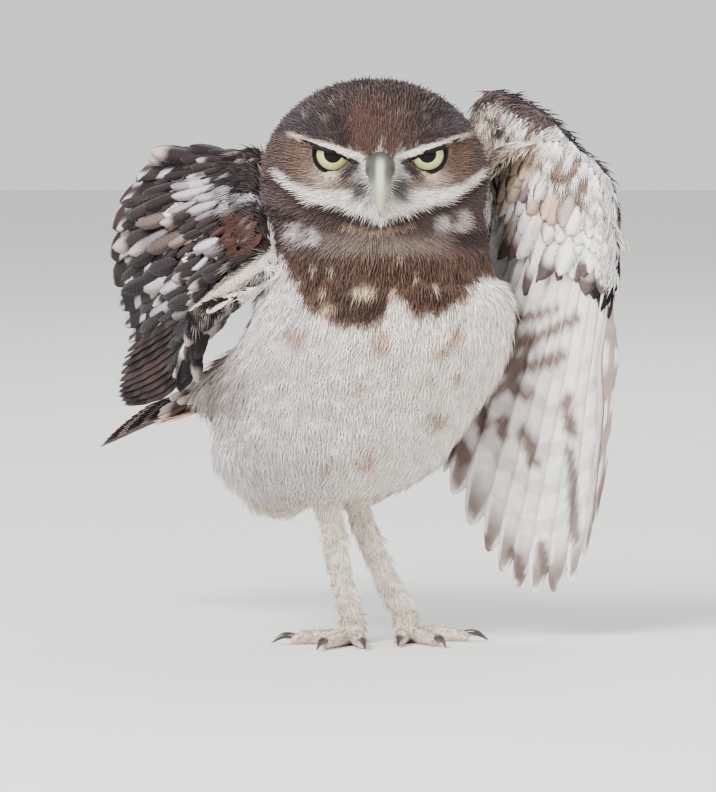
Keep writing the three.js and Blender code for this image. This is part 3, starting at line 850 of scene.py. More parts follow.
def dots(points, normals, spacing, size, seed):  # a scatter of spots over a region
    cell = points / spacing
    base = np.floor(cell)
    near = np.full(len(points), 9.0)
    for dx in (-1, 0, 1):
        for dy in (-1, 0, 1):
            for dz in (-1, 0, 1):
                corner = base + [dx, dy, dz]
                hashed = np.sin(corner @ [12.99, 78.23, 37.72] + seed) * 43758.5
                place = np.c_[np.modf(hashed)[0], np.modf(hashed * 1.37)[0], np.modf(hashed * 1.91)[0]]
                near = np.minimum(near, np.linalg.norm(corner + 0.5 + 0.42 * place - cell, axis=1))
    return 1 - smooth(near * spacing, size * 0.6, size * 1.2)


def browHeight(aside):  # the brow band's line in the front view
    return 153.85 + 0.333 * aside


def strokes(x, z, marks):  # soft marks along straight lines, each [x0, z0, x1, z1, half width]
    mask = np.zeros(len(x))
    for x0, z0, x1, z1, half in marks:
        dx, dz = x1 - x0, z1 - z0
        t = np.clip(((x - x0) * dx + (z - z0) * dz) / (dx * dx + dz * dz), 0, 1)
        gap = np.hypot(x - x0 - t * dx, z - z0 - t * dz)
        mask = np.maximum(mask, 1 - smooth(gap, half * 0.6, half * 1.4))
    return mask


def headColours(points, normals, x, z):
    h = points[:, 2]
    aside = np.abs(points[:, 0] - owl["faceMiddle"])
    front = smooth(-normals[:, 1], -0.15, 0.3)
    noiseA, noiseB = cloudy(points, 5, 1), cloudy(points, 2.2, 2)
    colour = np.tile(tints["crown"], (len(points), 1))
    colour = layered(colour, tints, [
        ("crownDark", smooth(noiseA, 0.1, 0.7) * 0.8),
        # painted shade: the sides of the head above the brows made purple-grey
        ("templeShade", smooth(aside, 14, 30) * smooth(h, 158, 168) * 0.55),
        ("forehead", front * (1 - smooth(aside, 5, 14)) * (1 - smooth(h, 168, 180)) * 0.8),
        ("spot", dots(points, normals, 6.6, 1.4, 3) * (1 - front * 0.8) * 0.9),
        ("spot", dots(points, normals, 5.0, 0.8, 5) * smooth(h, 165, 172) * 0.55),
    ])
    # the face below the brows, as it stands in the front view
    fx = x - owl["faceMiddle"]
    aside = np.abs(fx)
    browLine = browHeight(aside)
    face = front * (1 - smooth(z, browLine - 1.6, browLine - 0.4))
    colour = layered(colour, tints, [
        ("cheek", face),
        ("cheekPale", face * swell(np.hypot((aside - 16) * 0.8, z - 149.5), 4.2) * 0.95),
        ("crown", face * smooth(noiseB + noiseA * 0.4, 0.2, 0.8) * smooth(aside, 10, 16) * 0.45),
        # the face's outer sides darker: the ruff's own brown with painted shade
        ("ruffAndShade", face * smooth(aside, 23, 31) * 0.8),
        ("lore", face * (1 - smooth(np.hypot(aside * 1.1, z - 149), 8.5, 11))),
    ])
    spotTop = 157.6 - 0.75 * np.clip(aside, 0, 5)
    betweenBrows = front * (1 - smooth(aside, 6, 8.5)) * (1 - smooth(z, spotTop - 0.7, spotTop + 0.7))
    betweenBrows = betweenBrows * smooth(z, 152, 154)
    colour = layered(colour, tints, [
        ("white", betweenBrows),
        ("bristle", face * (1 - smooth(np.hypot(aside - 6.2, (z - 146.4) * 0.9), 1.6, 4.2)) * 0.85),
    ])
    # white brow band, buff at its outer end, over a dark line of painted shadow
    thick = mixed(1.15, 0.7, np.clip((aside - 8) / 20, 0, 1))
    brow = front * (1 - smooth(np.abs(z - browLine), thick * 0.7, thick * 1.4)) * (1 - smooth(aside, 26, 31))
    brow = brow * smooth(aside, 4, 6)
    colour = over(colour, mixed(tints["white"], tints["browCream"], 0.1), brow)
    colour = layered(colour, tints, [
        ("browBuff", brow * smooth(aside, 14, 26) * 0.7),
        # painted shadow: a dark line under the brow's outer end
        ("dark", front * swell(z - (browLine - thick - 0.9), 0.7) * smooth(aside, 18, 20)
         * (1 - smooth(aside, 25, 30)) * 0.8),
    ])
    # white moustache band, dark line under it, painted shade in the mouth creases, and the chin with painted
    # shade under its buff line
    lowFront = smooth(-normals[:, 1], -0.35, 0.05)
    lower = np.interp(aside, [0, 6.5, 15.5, 22.5, 27, 33], [135.4, 138.0, 140.6, 142.0, 145.2, 150.0])
    top = np.interp(aside, [0, 10, 15, 21, 26, 33], [147, 146, 145.8, 146.2, 147.6, 152.6])
    under = lowFront * (1 - smooth(z, lower - 0.6, lower + 0.2))
    colour = layered(colour, tints, [
        ("ruffAndShade", under),
        ("collar", under * (1 - smooth(z, 128, 134)) * (1 - smooth(aside, 16, 26)) * 0.75),
        ("dark", lowFront * swell(z - (lower - 1.7), 1.5) * smooth(aside, 6, 12) * 0.8),
    ])
    band = lowFront * smooth(z, lower - 0.5, lower + 0.4) * (1 - smooth(z, top - 0.5, top + 0.5))
    band = band * (1 - smooth(aside, 31.5, 35)) * np.maximum(smooth(aside, 7, 10), 1 - smooth(z, 141, 143))
    colour = over(colour, tints["white"], band)
    # painted shade in the mouth creases
    creaseShade = strokes(x, z, [[-12, 140.4, -2.4, 137, 0.55], [16.3, 138.6, 7, 134.8, 0.55]])
    colour = layered(colour, tints, [
        ("dark", lowFront * creaseShade),
        ("chinBuff", lowFront * strokes(x, z, [[-9, 134.6, 1, 132.2, 0.6], [1, 132.2, 13, 134.4, 0.6]])
         * 0.7),
        # painted shade under the buff chin line
        ("dark", lowFront * strokes(x, z, [[-8, 133, 1, 130.6, 0.5], [1, 130.6, 12, 132.8, 0.5]]) * 0.6),
    ])
    grey = lowFront * spots(x, z, [[-24, 131.8, 4.4], [-19, 131, 3.4], [28, 136, 3.6], [22, 135, 3.0]])
    colour = over(colour, tints["ashen"], grey * smooth(noiseB, -0.9, 0.2) * 0.9)
    # painted shade in the folds of the neck, as strokes and spots
    neckFoldShade = strokes(x + noiseB * 0.8, z + noiseA * 0.8,
                      [[-34, 139.4, -24, 136.8, 1.5], [-29, 128.9, -16, 127.6, 0.6]])
    neckFoldShade = np.maximum(neckFoldShade,
                         spots(x + noiseB, z + noiseA,
                               [[27, 130.6, 2.0], [31, 130, 3.0], [34.5, 129.6, 2.6]]))
    colour = over(colour, tints["neckFoldShade"], lowFront * neckFoldShade * 0.75)
    return colour


def bodyColours(points, normals, x, z):
    front = smooth(-normals[:, 1], -0.25, 0.2)
    noiseA, noiseB = cloudy(points, 6, 4), cloudy(points, 2.5, 6)
    back = np.tile(tints["back"], (len(points), 1))
    back = layered(back, tints, [
        ("backDark", smooth(noiseA, 0.0, 0.6) * 0.8),
        ("crown", smooth(points[:, 2], 106, 122) * 0.9),
        ("spot", dots(points, normals, 8.5, 1.9, 9) * smooth(noiseB, -1, 0)),
    ])
    belly = np.tile(tints["belly"], (len(points), 1))
    # painted shade: the belly made greyer towards the owl's right side
    belly = over(belly, tints["bellyGreyAndShade"], smooth(-x, 4, 24) * 0.9)
    marks = [[-26, 101, 2.2], [-22, 99.4, 2.4], [2.6, 99.2, 3.2], [22.4, 97, 3.0], [26.6, 100.8, 2.8],
             [-3.2, 85.4, 1.8], [-12.8, 77.8, 2.0], [19.2, 87, 2.6], [13.8, 84.8, 1.8], [-13.4, 59.2, 2.4],
             [-0.6, 62.4, 2.6], [8, 93, 1.6], [-16, 90, 1.5], [28, 88, 2.0]]
    belly = layered(belly, tints, [
        ("smudge", spots(x + noiseB, z + noiseA, marks) * 0.85),
        ("ochre", spots(x, z, [[21.8, 74.6, 3.4]]) * 0.75),
        ("flank", smooth(-x, 34, 44) * smooth(z, 66, 84) * 0.8),
    ])
    belly = over(belly, tints["bellyGreyAndShade"] * 0.8, smooth(noiseB, 0.4, 1.0) * 0.3)
    colour = back + (belly - back) * front[:, None]
    belowTail = (1 - smooth(points[:, 2] + 3 * noiseA, 56, 62)) * (1 - front)
    colour = over(colour, tints["belly"], belowTail)
    # bib with a scalloped edge
    edge = 2 + np.interp(x, [-29, -24.3, -20.9, -17.4, -9.8, -2.1, 4.1, 6.9, 10.4, 13, 20.8, 27.7, 34.7],
                         [124.7, 115, 109.4, 104.6, 101.4, 100.6, 103.9, 111, 109, 105, 105.6, 109.4, 117])
    bib = smooth(z + noiseB * 1.1, edge - 0.9, edge + 1.0) * smooth(-normals[:, 1], -0.3, 0.1)
    bibColour = over(np.tile(tints["bib"], (len(points), 1)), tints["bibDark"],
                     smooth(noiseA + noiseB * 0.5, 0.0, 0.9) * 0.75)
    pale = spots(x, z, [[-18.9, 121.6, 1.3], [-13.1, 121.4, 1.3], [-15.5, 113.6, 1.3], [-23, 118, 1.0],
                        [14, 119, 1.1], [20, 115, 1.2], [34.2, 128, 1.5], [9, 124, 0.9]])
    pale = np.maximum(pale, spots(x * 0.6, z, [[-1.3, 114, 2.6], [-8.4, 109, 1.7]]))
    pale = np.maximum(pale, (1 - smooth(np.abs(x - 6.7), 0.5, 1.3)) * smooth(z, 103, 106)
                      * (1 - smooth(z, 113, 116)))
    bibColour = layered(bibColour, tints, [
        ("bibRust", (1 - smooth(z - edge, 1.0, 4)) * smooth(noiseB, -0.6, 0.6) * 0.6),
        ("dark", spots(x, z, [[-2.2, 108.5, 3.0]]) * 0.6),
        ("bibSpot", pale * 0.85),
    ])
    colour = colour + (bibColour - colour) * bib[:, None]
    onLegs = 1 - smooth(points[:, 2], 44, 54)
    return over(colour, tints["leg"], onLegs)


def paintBody(points, normals):
    x, z = seen(points)
    ragged = 2.5 * cloudy(points, 4, 52) * smooth(points[:, 1], 0, 12)
    head = smooth(points[:, 2] + points[:, 1] * 0.05 + ragged, 124.5, 127.5)
    low, high = bodyColours(points, normals, x, z), headColours(points, normals, x, z)
    return low + (high - low) * head[:, None], head


def flow(points, normals, head):  # which way the feathers lie
    source = v3(owl["faceMiddle"], -40, 152)
    fromBill = unit(points - source)
    radial = fromBill + v3(0, 0, -0.25) * smooth(points[:, 1], -5, 25)[:, None]
    for side in (-1, 1):
        eye = v3(owl["faceMiddle"] + side * owl["eyeApart"], owl["eyeDepth"] - 8, owl["eyeHeight"])
        near = swell(np.linalg.norm(points - eye, axis=1), 10)
        radial = radial + unit(points - eye) * (near * 1.2)[:, None]
    across, upright = seen(points)
    aside = np.abs(across - owl["faceMiddle"])
    sideways = np.c_[np.sign(points[:, 0] - owl["faceMiddle"]), np.zeros(len(points)),
                     np.full(len(points), 0.33)]
    onBrow = swell(upright - browHeight(aside) + 0.3, 2.0) * smooth(aside, 4, 7) * smooth(-points[:, 1], 2, 8)
    radial = radial + (sideways * 1.2 - radial) * (0.9 * onBrow)[:, None]
    onBand = swell(upright - 143 - 0.1 * aside, 4) * smooth(aside, 6, 10) * smooth(-points[:, 1], 2, 8)
    radial = radial + (sideways * [1, 1, 0.3] - radial) * (0.6 * onBand)[:, None]
    x = points[:, 0]
    level = np.zeros(len(points))
    down = np.c_[-0.12 - 0.004 * x, level + 0.15, level - 1]
    down = down + np.c_[cloudy(points, 9, 11), level, cloudy(points, 9, 13)] * 0.18
    lie = down + (radial - down) * head[:, None]
    lie = lie - normals * (lie * normals).sum(axis=1, keepdims=True)
    return unit(lie)


coatKinds = {  # how each region is dressed, its length and spacing in millimetres
    "face": {"leaf": "wisp", "length": 3.6, "spacing": 0.85, "rise": 0.26, "jitter": 0.16, "vary": 0.25},
    "crown": {"leaf": "wisp", "length": 4.4, "spacing": 1.0, "rise": 0.24, "jitter": 0.16, "vary": 0.25},
    "mantle": {"leaf": "contour", "length": 8, "spacing": 1.6, "rise": 0.16, "jitter": 0.14, "vary": 0.2},
    "bib": {"leaf": "wisp", "length": 5.2, "spacing": 0.95, "rise": 0.24, "jitter": 0.2, "vary": 0.25},
    "belly": {"leaf": "fluff", "length": 7.6, "spacing": 0.98, "rise": 0.2, "jitter": 0.2, "vary": 0.25},
    "leg": {"leaf": "down", "length": 5, "spacing": 1.2, "rise": 0.3, "jitter": 0.22, "vary": 0.3},
}

bodyNormals = normalsOf(body.data)
bodyTint, headMask = paintBody(bodyPoints, bodyNormals)
bodyX, bodyZ = seen(bodyPoints)
lie = flow(bodyPoints, bodyNormals, headMask)
faceMask = headMask * smooth(-bodyNormals[:, 1], -0.1, 0.25) * (1 - smooth(bodyPoints[:, 2], 168, 172))
faceMask = np.where(bodyPoints[:, 1] < -4, faceMask, 0)
crownMask = np.clip(headMask - faceMask, 0, 1)
raggedHeight = bodyPoints[:, 2] + 3 * cloudy(bodyPoints, 6, 51)
backMask = (1 - headMask) * (1 - smooth(-bodyNormals[:, 1], -0.25, 0.1)) * smooth(raggedHeight, 55, 60)
bibEdge = smooth(bodyZ, 99, 104) * (1 - headMask) * smooth(-bodyNormals[:, 1], -0.3, 0.0)
legMask = 1 - smooth(bodyPoints[:, 2], 43, 47)
bellyMask = np.clip(1 - headMask - backMask - bibEdge - legMask, 0, 1)
openEye = smooth(eyeRim, 0.7, 1.1)
browGap = bodyZ - browHeight(np.abs(bodyX - owl["faceMiddle"]))
onBrowBand = swell(browGap, 2.2) * smooth(-bodyPoints[:, 1], 2, 8)
crownMask = np.where(bodyPoints[:, 2] > 124, crownMask, 0)
fine = faceMask + crownMask + bibEdge + legMask
masks = {"face": faceMask, "crown": crownMask, "mantle": backMask, "bib": bibEdge, "belly": bellyMask,
         "leg": legMask}
length = sum(coatKinds[kind]["length"] * mask for kind, mask in masks.items())
length = length / np.maximum(fine + backMask + bellyMask, 1e-3)
length = mixed(length, 2.2, np.maximum(swell(np.maximum(eyeRim, 0), 2.0), onBrowBand) * faceMask)
flankReach = smooth(-bodyX, 30, 44) * (1 - smooth(bodyPoints[:, 2], 100, 112)) * bellyMask
length = length + 3 * flankReach
width = np.where(backMask > 0.5, length * 0.5, length * 0.85)
pale = bodyTint.mean(axis=1)
setAttributes(body.data, tint=bodyTint * mixed(0.75, 1.0, smooth(pale, 0.2, 0.6))[:, None],
              tipTint=np.clip(bodyTint * 1.06, 0, 1), lie=lie, length=length / 1000, width=width / 1000)
leftHalf = bodyPoints[:, 0] > np.where(headMask > 0.5, 2.5, -6.0)
for name, mask in {"faceLeft": faceMask * openEye * leftHalf, "faceRight": faceMask * openEye * ~leftHalf,
                   "crownLeft": crownMask * openEye * leftHalf, "crownRight": crownMask * openEye * ~leftHalf,
                   "mantle": backMask, "bib": bibEdge, "bellyLeft": bellyMask * leftHalf,
                   "bellyRight": bellyMask * ~leftHalf, "leg": legMask}.items():
    setAttribute(body.data, name, "FLOAT", np.where(mask > 0.5, 1.0, mask * 0.6))
unwrap(body)
print("skin painted")


def skinMaterial(name, shade):
    material, tree, shader = newMaterial(name, Roughness=0.9, Specular_IOR_Level=0.2)
    dim = (shade, shade, shade, 1)
    colour = blendColours(tree, 1.0, attributeColour(tree, "tint"), dim, "MULTIPLY")
    paintMottled(tree, shader, colour, 900.0, 0.45)
    fuzz = fineTexture(tree, "ShaderNodeTexNoise", 1500.0)
    addBump(tree, shader, fuzz, 0.6, 0.0004)
    return material


body.data.materials.append(skinMaterial("underDown", 0.8))
plumage = plumageMaterial("contourPlumage")
downy = plumageMaterial("downyPlumage", roughness=0.92, tipFrom=0.2, tipTo=0.8)
coats = [  # each piece's name, region and kind
    ("face_feathers_left", "faceLeft", "face"), ("face_feathers_right", "faceRight", "face"),
    ("crown_feathers_left", "crownLeft", "crown"), ("crown_feathers_right", "crownRight", "crown"),
    ("mantle_feathers", "mantle", "mantle"), ("bib_feathers", "bib", "bib"),
    ("belly_down_left", "bellyLeft", "belly"), ("belly_down_right", "bellyRight", "belly"),
    ("leg_down", "leg", "leg"),
]
for seed, (name, region, kind) in enumerate(coats):
    coat = coatKinds[kind]
    piece = grow(name, body, coatTree, Leaf=leaves[coat["leaf"]], Region=region,
                 Spacing=coat["spacing"] / 1000,
                 Rise=coat["rise"], Jitter=coat["jitter"], Size_vary=coat["vary"], Seed=seed * 10 + 1,
                 Material=plumage if kind == "mantle" else downy)
    finishPiece(piece, "pale_feathers" if kind in ("belly", "leg") else "brown_feathers")
print("coat ready")


# Eyes, lids and bristles.

eyeLooks = {"pupil": 2.9, "iris": 5.25, "irisInner": srgb(190, 192, 126), "irisOuter": srgb(158, 162, 98),
            "edgeTint": (0.012, 0.01, 0.01, 1), "pupilTint": (0.004, 0.004, 0.004, 1),
            "rim": 0.5, "upperRim": 0.22, "rimOut": 0.35, "lidRadius": 7.9, "upperLid": 0.9,
            "lidTint": (0.005, 0.0045, 0.0045, 1),
            "points": ((5.0, 10.5, 0.6), (-5.4, -8.4, 0.8))}  # each corner's point: from, to, size


def eyeMaterial():
    material, tree, shader = newMaterial("wetEye", Roughness=0.1, Specular_IOR_Level=0.08)
    shader.inputs["Coat Weight"].default_value = 0.05
    shader.inputs["Coat Roughness"].default_value = 0.05
    ring = attributeValue(tree, "ring")
    fibres = put(tree, "ShaderNodeTexNoise", {
        "Vector": put(tree, "ShaderNodeAttribute", attribute_name="irisMap").outputs["Vector"], "Scale": 1.0,
        "Detail": 4.0})
    pupil, iris = eyeLooks["pupil"], eyeLooks["iris"]
    tone = blendColours(tree, ramp(tree, ring, pupil, iris), (*eyeLooks["irisInner"], 1),
                        (*eyeLooks["irisOuter"], 1))
    light = maths(tree, "MULTIPLY_ADD", fibres.outputs[0], 0.7, 0.68)
    tone = shadedBy(tree, tone, light)
    tone = blendColours(tree, ramp(tree, ring, iris - 0.45, iris + 0.1), tone, eyeLooks["edgeTint"])
    tone = blendColours(tree, ramp(tree, ring, pupil - 0.15, pupil + 0.15), eyeLooks["pupilTint"], tone)
    tree.links.new(tone, shader.inputs["Base Color"])
    return material


def makeEye(name, side, material):
    rings, sides, radius = 80, 72, owl["eyeRadius"]
    eye = eyeCentre(side)
    tilt = np.linspace(0.004, math.pi - 0.004, rings)
    points, reading = [], []
    for a in tilt:
        turn = np.arange(sides) * math.tau / sides
        r = radius * math.sin(a)
        points.append(eye + np.c_[r * np.cos(turn), np.full(sides, -radius * math.cos(a)), r * np.sin(turn)])
        ring = r if a < math.pi / 2 else 2 * radius - r
        reading.append(np.c_[np.full(sides, ring), np.cos(turn) * 9, np.sin(turn) * 9])
    piece = makePiece(name, np.concatenate(points), ringFaces(rings, sides))
    reading = np.concatenate(reading)
    setAttributes(piece.data, ring=reading[:, 0], irisMap=np.c_[reading[:, 1:], reading[:, 0] * 0.5])
    piece.data.materials.append(material)
    return finishPiece(piece, "eyes", name)


def closedTube(path, radii, sides=10):  # a tube whose two ends meet
    count = len(path)
    tangent = unit(np.roll(path, -1, axis=0) - np.roll(path, 1, axis=0))
    across = unit(np.cross(tangent, v3(0, 1, 0)))
    above = np.cross(tangent, across)
    turn = np.arange(sides) * math.tau / sides
    points = (path[:, None] + across[:, None] * (radii[:, None] * np.cos(turn))[..., None]
              + above[:, None] * (radii[:, None] * np.sin(turn))[..., None]).reshape(-1, 3)
    faces = []
    for r in range(count):
        for i in range(sides):
            j = (i + 1) % sides
            s = (r + 1) % count
            faces.append((r * sides + i, s * sides + i, s * sides + j, r * sides + j))
    return points, faces


def facingOut(piece):  # turns every closed shape's faces outwards
    shape = bmesh.new()
    shape.from_mesh(piece.data)
    bmesh.ops.recalc_face_normals(shape, faces=shape.faces)
    shape.to_mesh(piece.data)
    shape.free()
    return piece


def makeLids():
    heap = Heap()
    for side in (-1, 1):
        eye = eyeCentre(side)
        turn = np.arange(96) * math.tau / 96
        reach = eyeOutline(turn) + eyeLooks["rimOut"]
        reach = np.convolve(np.r_[reach[-2:], reach, reach[:2]], [0.1, 0.2, 0.4, 0.2, 0.1], "valid")
        upper = smooth(np.sin(turn + 0.25), 0.1, 0.6)
        radius = eyeLooks["lidRadius"] + eyeLooks["upperLid"] * upper
        depth = np.sqrt(np.maximum(radius**2 - reach**2, 1))
        path = eye + np.c_[side * reach * np.cos(turn), -depth, reach * np.sin(turn)]
        heap.add(*closedTube(path, eyeLooks["rim"] + eyeLooks["upperRim"] * upper))
        # the rim runs out to a point at each corner of the eye
        for corner, reachTo, size in eyeLooks["points"]:
            cornerPath = []
            for t in (0, 0.5, 1):
                aside = owl["eyeApart"] + mixed(corner, reachTo, t)
                height = owl["eyeHeight"] + mixed(corner, reachTo, t) * 0.38 + (0.5 if corner > 0 else 0.2)
                near = np.hypot(bodyPoints[:, 0] - owl["faceMiddle"] - side * aside,
                                bodyPoints[:, 2] - height)
                near = near + 99 * (bodyNormals[:, 1] > -0.1)
                y = bodyPoints[int(near.argmin()), 1] - (0.9 if t else 0.2)
                if not t:
                    y = min(y, eye[1] - 6.0)
                cornerPath.append(v3(owl["faceMiddle"] + side * aside, y, height))
            heap.add(*limb(cornerPath, [size, size * 0.75, 0.15], 10, 12))
    piece = facingOut(makePiece("eye_rims", *heap.all()))
    material, tree, shader = newMaterial("lidSkin", Roughness=0.5, Specular_IOR_Level=0.12)
    paintMottled(tree, shader, eyeLooks["lidTint"], 900.0, 0.5)
    grain = fineTexture(tree, "ShaderNodeTexVoronoi", 2500.0)
    addBump(tree, shader, grain, 0.4, 0.0002)
    piece.data.materials.append(material)
    return finishPiece(piece, "eyes")


wetEye = eyeMaterial()
makeEye("right_eye", -1, wetEye).name = "right_eyeball"
makeEye("left_eye", 1, wetEye).name = "left_eyeball"
makeLids()


def rowPiece(name, rows, leaf, material, slot, rise=0.1, jitter=0.06, vary=0.1, seed=1, nodes=()):
    joined = (np.concatenate([row[k] for row in rows]) for k in range(8))
    place, heading, facing, length, width, tint, tip, root = joined
    carrier = makePiece(name + "Points", place, [])
    mesh = carrier.data
    setAttributes(mesh, lie=unit(heading), outward=unit(facing), length=length / 1000, width=width / 1000,
                  tint=tint, tipTint=tip, patchRoot=np.c_[root, np.zeros(len(root))])
    piece = grow(name, carrier, dressTree, Leaf=leaves[leaf], Rise=rise, Jitter=jitter, Size_vary=vary,
                 Seed=seed,
                 Material=material)
    bpy.data.objects.remove(carrier)
    return finishPiece(piece, slot, *nodes)


def bakePlaces(mesh):  # where each point stands in the OFBake map
    corners = np.zeros(len(mesh.loops), np.int32)
    mesh.loops.foreach_get("vertex_index", corners)
    flat = np.zeros(len(corners) * 2, np.float32)
    mesh.uv_layers["OFBake"].data.foreach_get("uv", flat)
    places = np.zeros((len(mesh.vertices), 2))
    places[corners] = flat.reshape(-1, 2)
    return places


bristles = {"nearest": 5.5, "top": 157.4, "length": 8.5, "width": 4.0}


def makeBristles():  # four rows of four on each side of the bill
    places = bakePlaces(body.data)
    front = bodyNormals[:, 1] < -0.1
    rows = []
    for side in (-1, 1):
        for k in range(16):
            fx = bristles["nearest"] + 3.0 * (k % 4) / 3 + (k // 4) * 0.3
            h = bristles["top"] - 1.0 * (k // 4) - 0.7 * (k % 4)
            gap = np.hypot(bodyPoints[:, 0] - owl["faceMiddle"] - side * fx, bodyPoints[:, 2] - h)
            gap = gap + 99 * ~front
            i = int(gap.argmin())
            heading = v3(side * 1.0, -0.12, -0.62 - 0.08 * (k // 4))
            dark = tints["whisker"][None]
            size = [np.array([bristles["length"] + 0.5 * (k % 3)]), np.array([bristles["width"]])]
            rows.append([a[None] for a in (bodyPoints[i] + bodyNormals[i] * 1.0, heading, bodyNormals[i])]
                        + size + [dark, dark * 0.8, places[i][None]])
    return rowPiece("face_bristles", rows, "hair", downy, "brown_feathers", rise=0.22, jitter=0.1, vary=0.2,
                    seed=41)


makeBristles()
print("eyes ready")


# Bill, toes and claws.

bill = {  # places are [aside of the face's middle, y, z]
    "ridge": [[0, -31, 153.5], [0, -36.8, 149]], "ridgeRadii": [5, 4.2, 3.2, 0.5],
    "cere": [2.8, -29.4, 153.4], "cereRadii": (2, 2.8, 2.4), "nostril": [3.4, -32, 153.6],
    "lower": [[0, -20, 146], [0, -27.5, 143], [0, -30.5, 140]], "lowerRadii": [3.2, 2.0, 0.5],
    "up": (0, -1, 0.4), "voxel": 0.00035, "horn": srgb(138, 146, 126), "ridgeTint": srgb(192, 194, 164),
    "side": srgb(72, 72, 68), "root": srgb(62, 60, 57), "tip": srgb(120, 118, 104), "hole": srgb(20, 18, 16),
}


def makeBill():
    middle = owl["faceMiddle"]
    place = lambda spot, side=1: v3(middle + side * spot[0], *spot[1:])
    upper, lower = Heap(), Heap()
    ridge = [owl["billRoot"], *map(place, bill["ridge"]), owl["billTip"]]
    upper.add(*limb(ridge, bill["ridgeRadii"], 32, 40, 0.95, bill["up"]))
    for side in (-1, 1):
        upper.add(*ball(place(bill["cere"], side), bill["cereRadii"], 24))
    lower.add(*limb([place(spot) for spot in bill["lower"]], bill["lowerRadii"], 28, 28, 0.7, bill["up"]))
    material, tree, shader = newMaterial("billHorn", Roughness=0.55, Specular_IOR_Level=0.25)
    paintMottled(tree, shader, attributeColour(tree, "tint"), 500.0, 0.2)
    stretched = put(tree, "ShaderNodeMapping", {0: put(tree, "ShaderNodeTexCoord").outputs["Object"]})
    stretched.inputs["Scale"].default_value = (3.0, 3.0, 0.6)
    grain = put(tree, "ShaderNodeTexNoise", {"Vector": stretched.outputs[0], "Scale": 700.0, "Detail": 3.0})
    addBump(tree, shader, grain.outputs[0], 0.35, 0.0002)
    for name, heap in (("bill_upper", upper), ("bill_lower", lower)):
        piece = remeshed(name + "Horn", heap, bill["voxel"], 3, 0.0)
        points, normals = pointsOf(piece.data), normalsOf(piece.data)
        hole = np.full(len(points), 9.0)
        for side in (-1, 1):
            hole = np.minimum(hole, np.linalg.norm(points - place(bill["nostril"], side), axis=1))
        points = points - normals * (0.9 * swell(hole, 0.9))[:, None]
        movePoints(piece.data, points)
        fx = np.abs(points[:, 0] - middle)
        tint = np.tile(bill["horn"], (len(points), 1))
        tint = layered(tint, bill, [
            ("ridgeTint", (1 - smooth(fx, 0.2, 2.0)) * smooth(-points[:, 1], 28, 33) * 0.9),
            ("side", smooth(points[:, 2], 146, 153) * smooth(fx, 0.5, 2.2)),
            ("root", smooth(points[:, 2], 155, 158.5)),
            ("tip", 1 - smooth(points[:, 2], 139, 142)),
            # painted shade inside the nostrils: their shallow dimples made near-black
            ("hole", 1 - smooth(hole, 0.8, 1.2)),
        ])
        setAttribute(piece.data, "tint", "FLOAT_COLOR", tint)
        piece.data.materials.append(material)
        piece.name = name + "_horn"
        finishPiece(piece, "bill", name)


feet = {  # lengths and radii in millimetres, the hair in metres
    "claw": 7, "clawRadii": [1.1, 1.05, 0.2], "toeStart": 3, "toeRadii": [2.6, 2.3, 2.07, 1.3],
    "padAt": (0.45, 0.72, 0.95), "padRadii": (1.9, 1.9, 1.8), "ankleRadii": [3.3, 3.9, 3.4], "voxel": 0.0005,
    "floor": 0.15, "hairLength": 0.0030, "hairWidth": 0.0018, "hairSpacing": 0.0012,
    "skin": srgb(196, 182, 164), "crease": srgb(150, 136, 122), "clawTint": (0.03, 0.024, 0.02, 1),
}


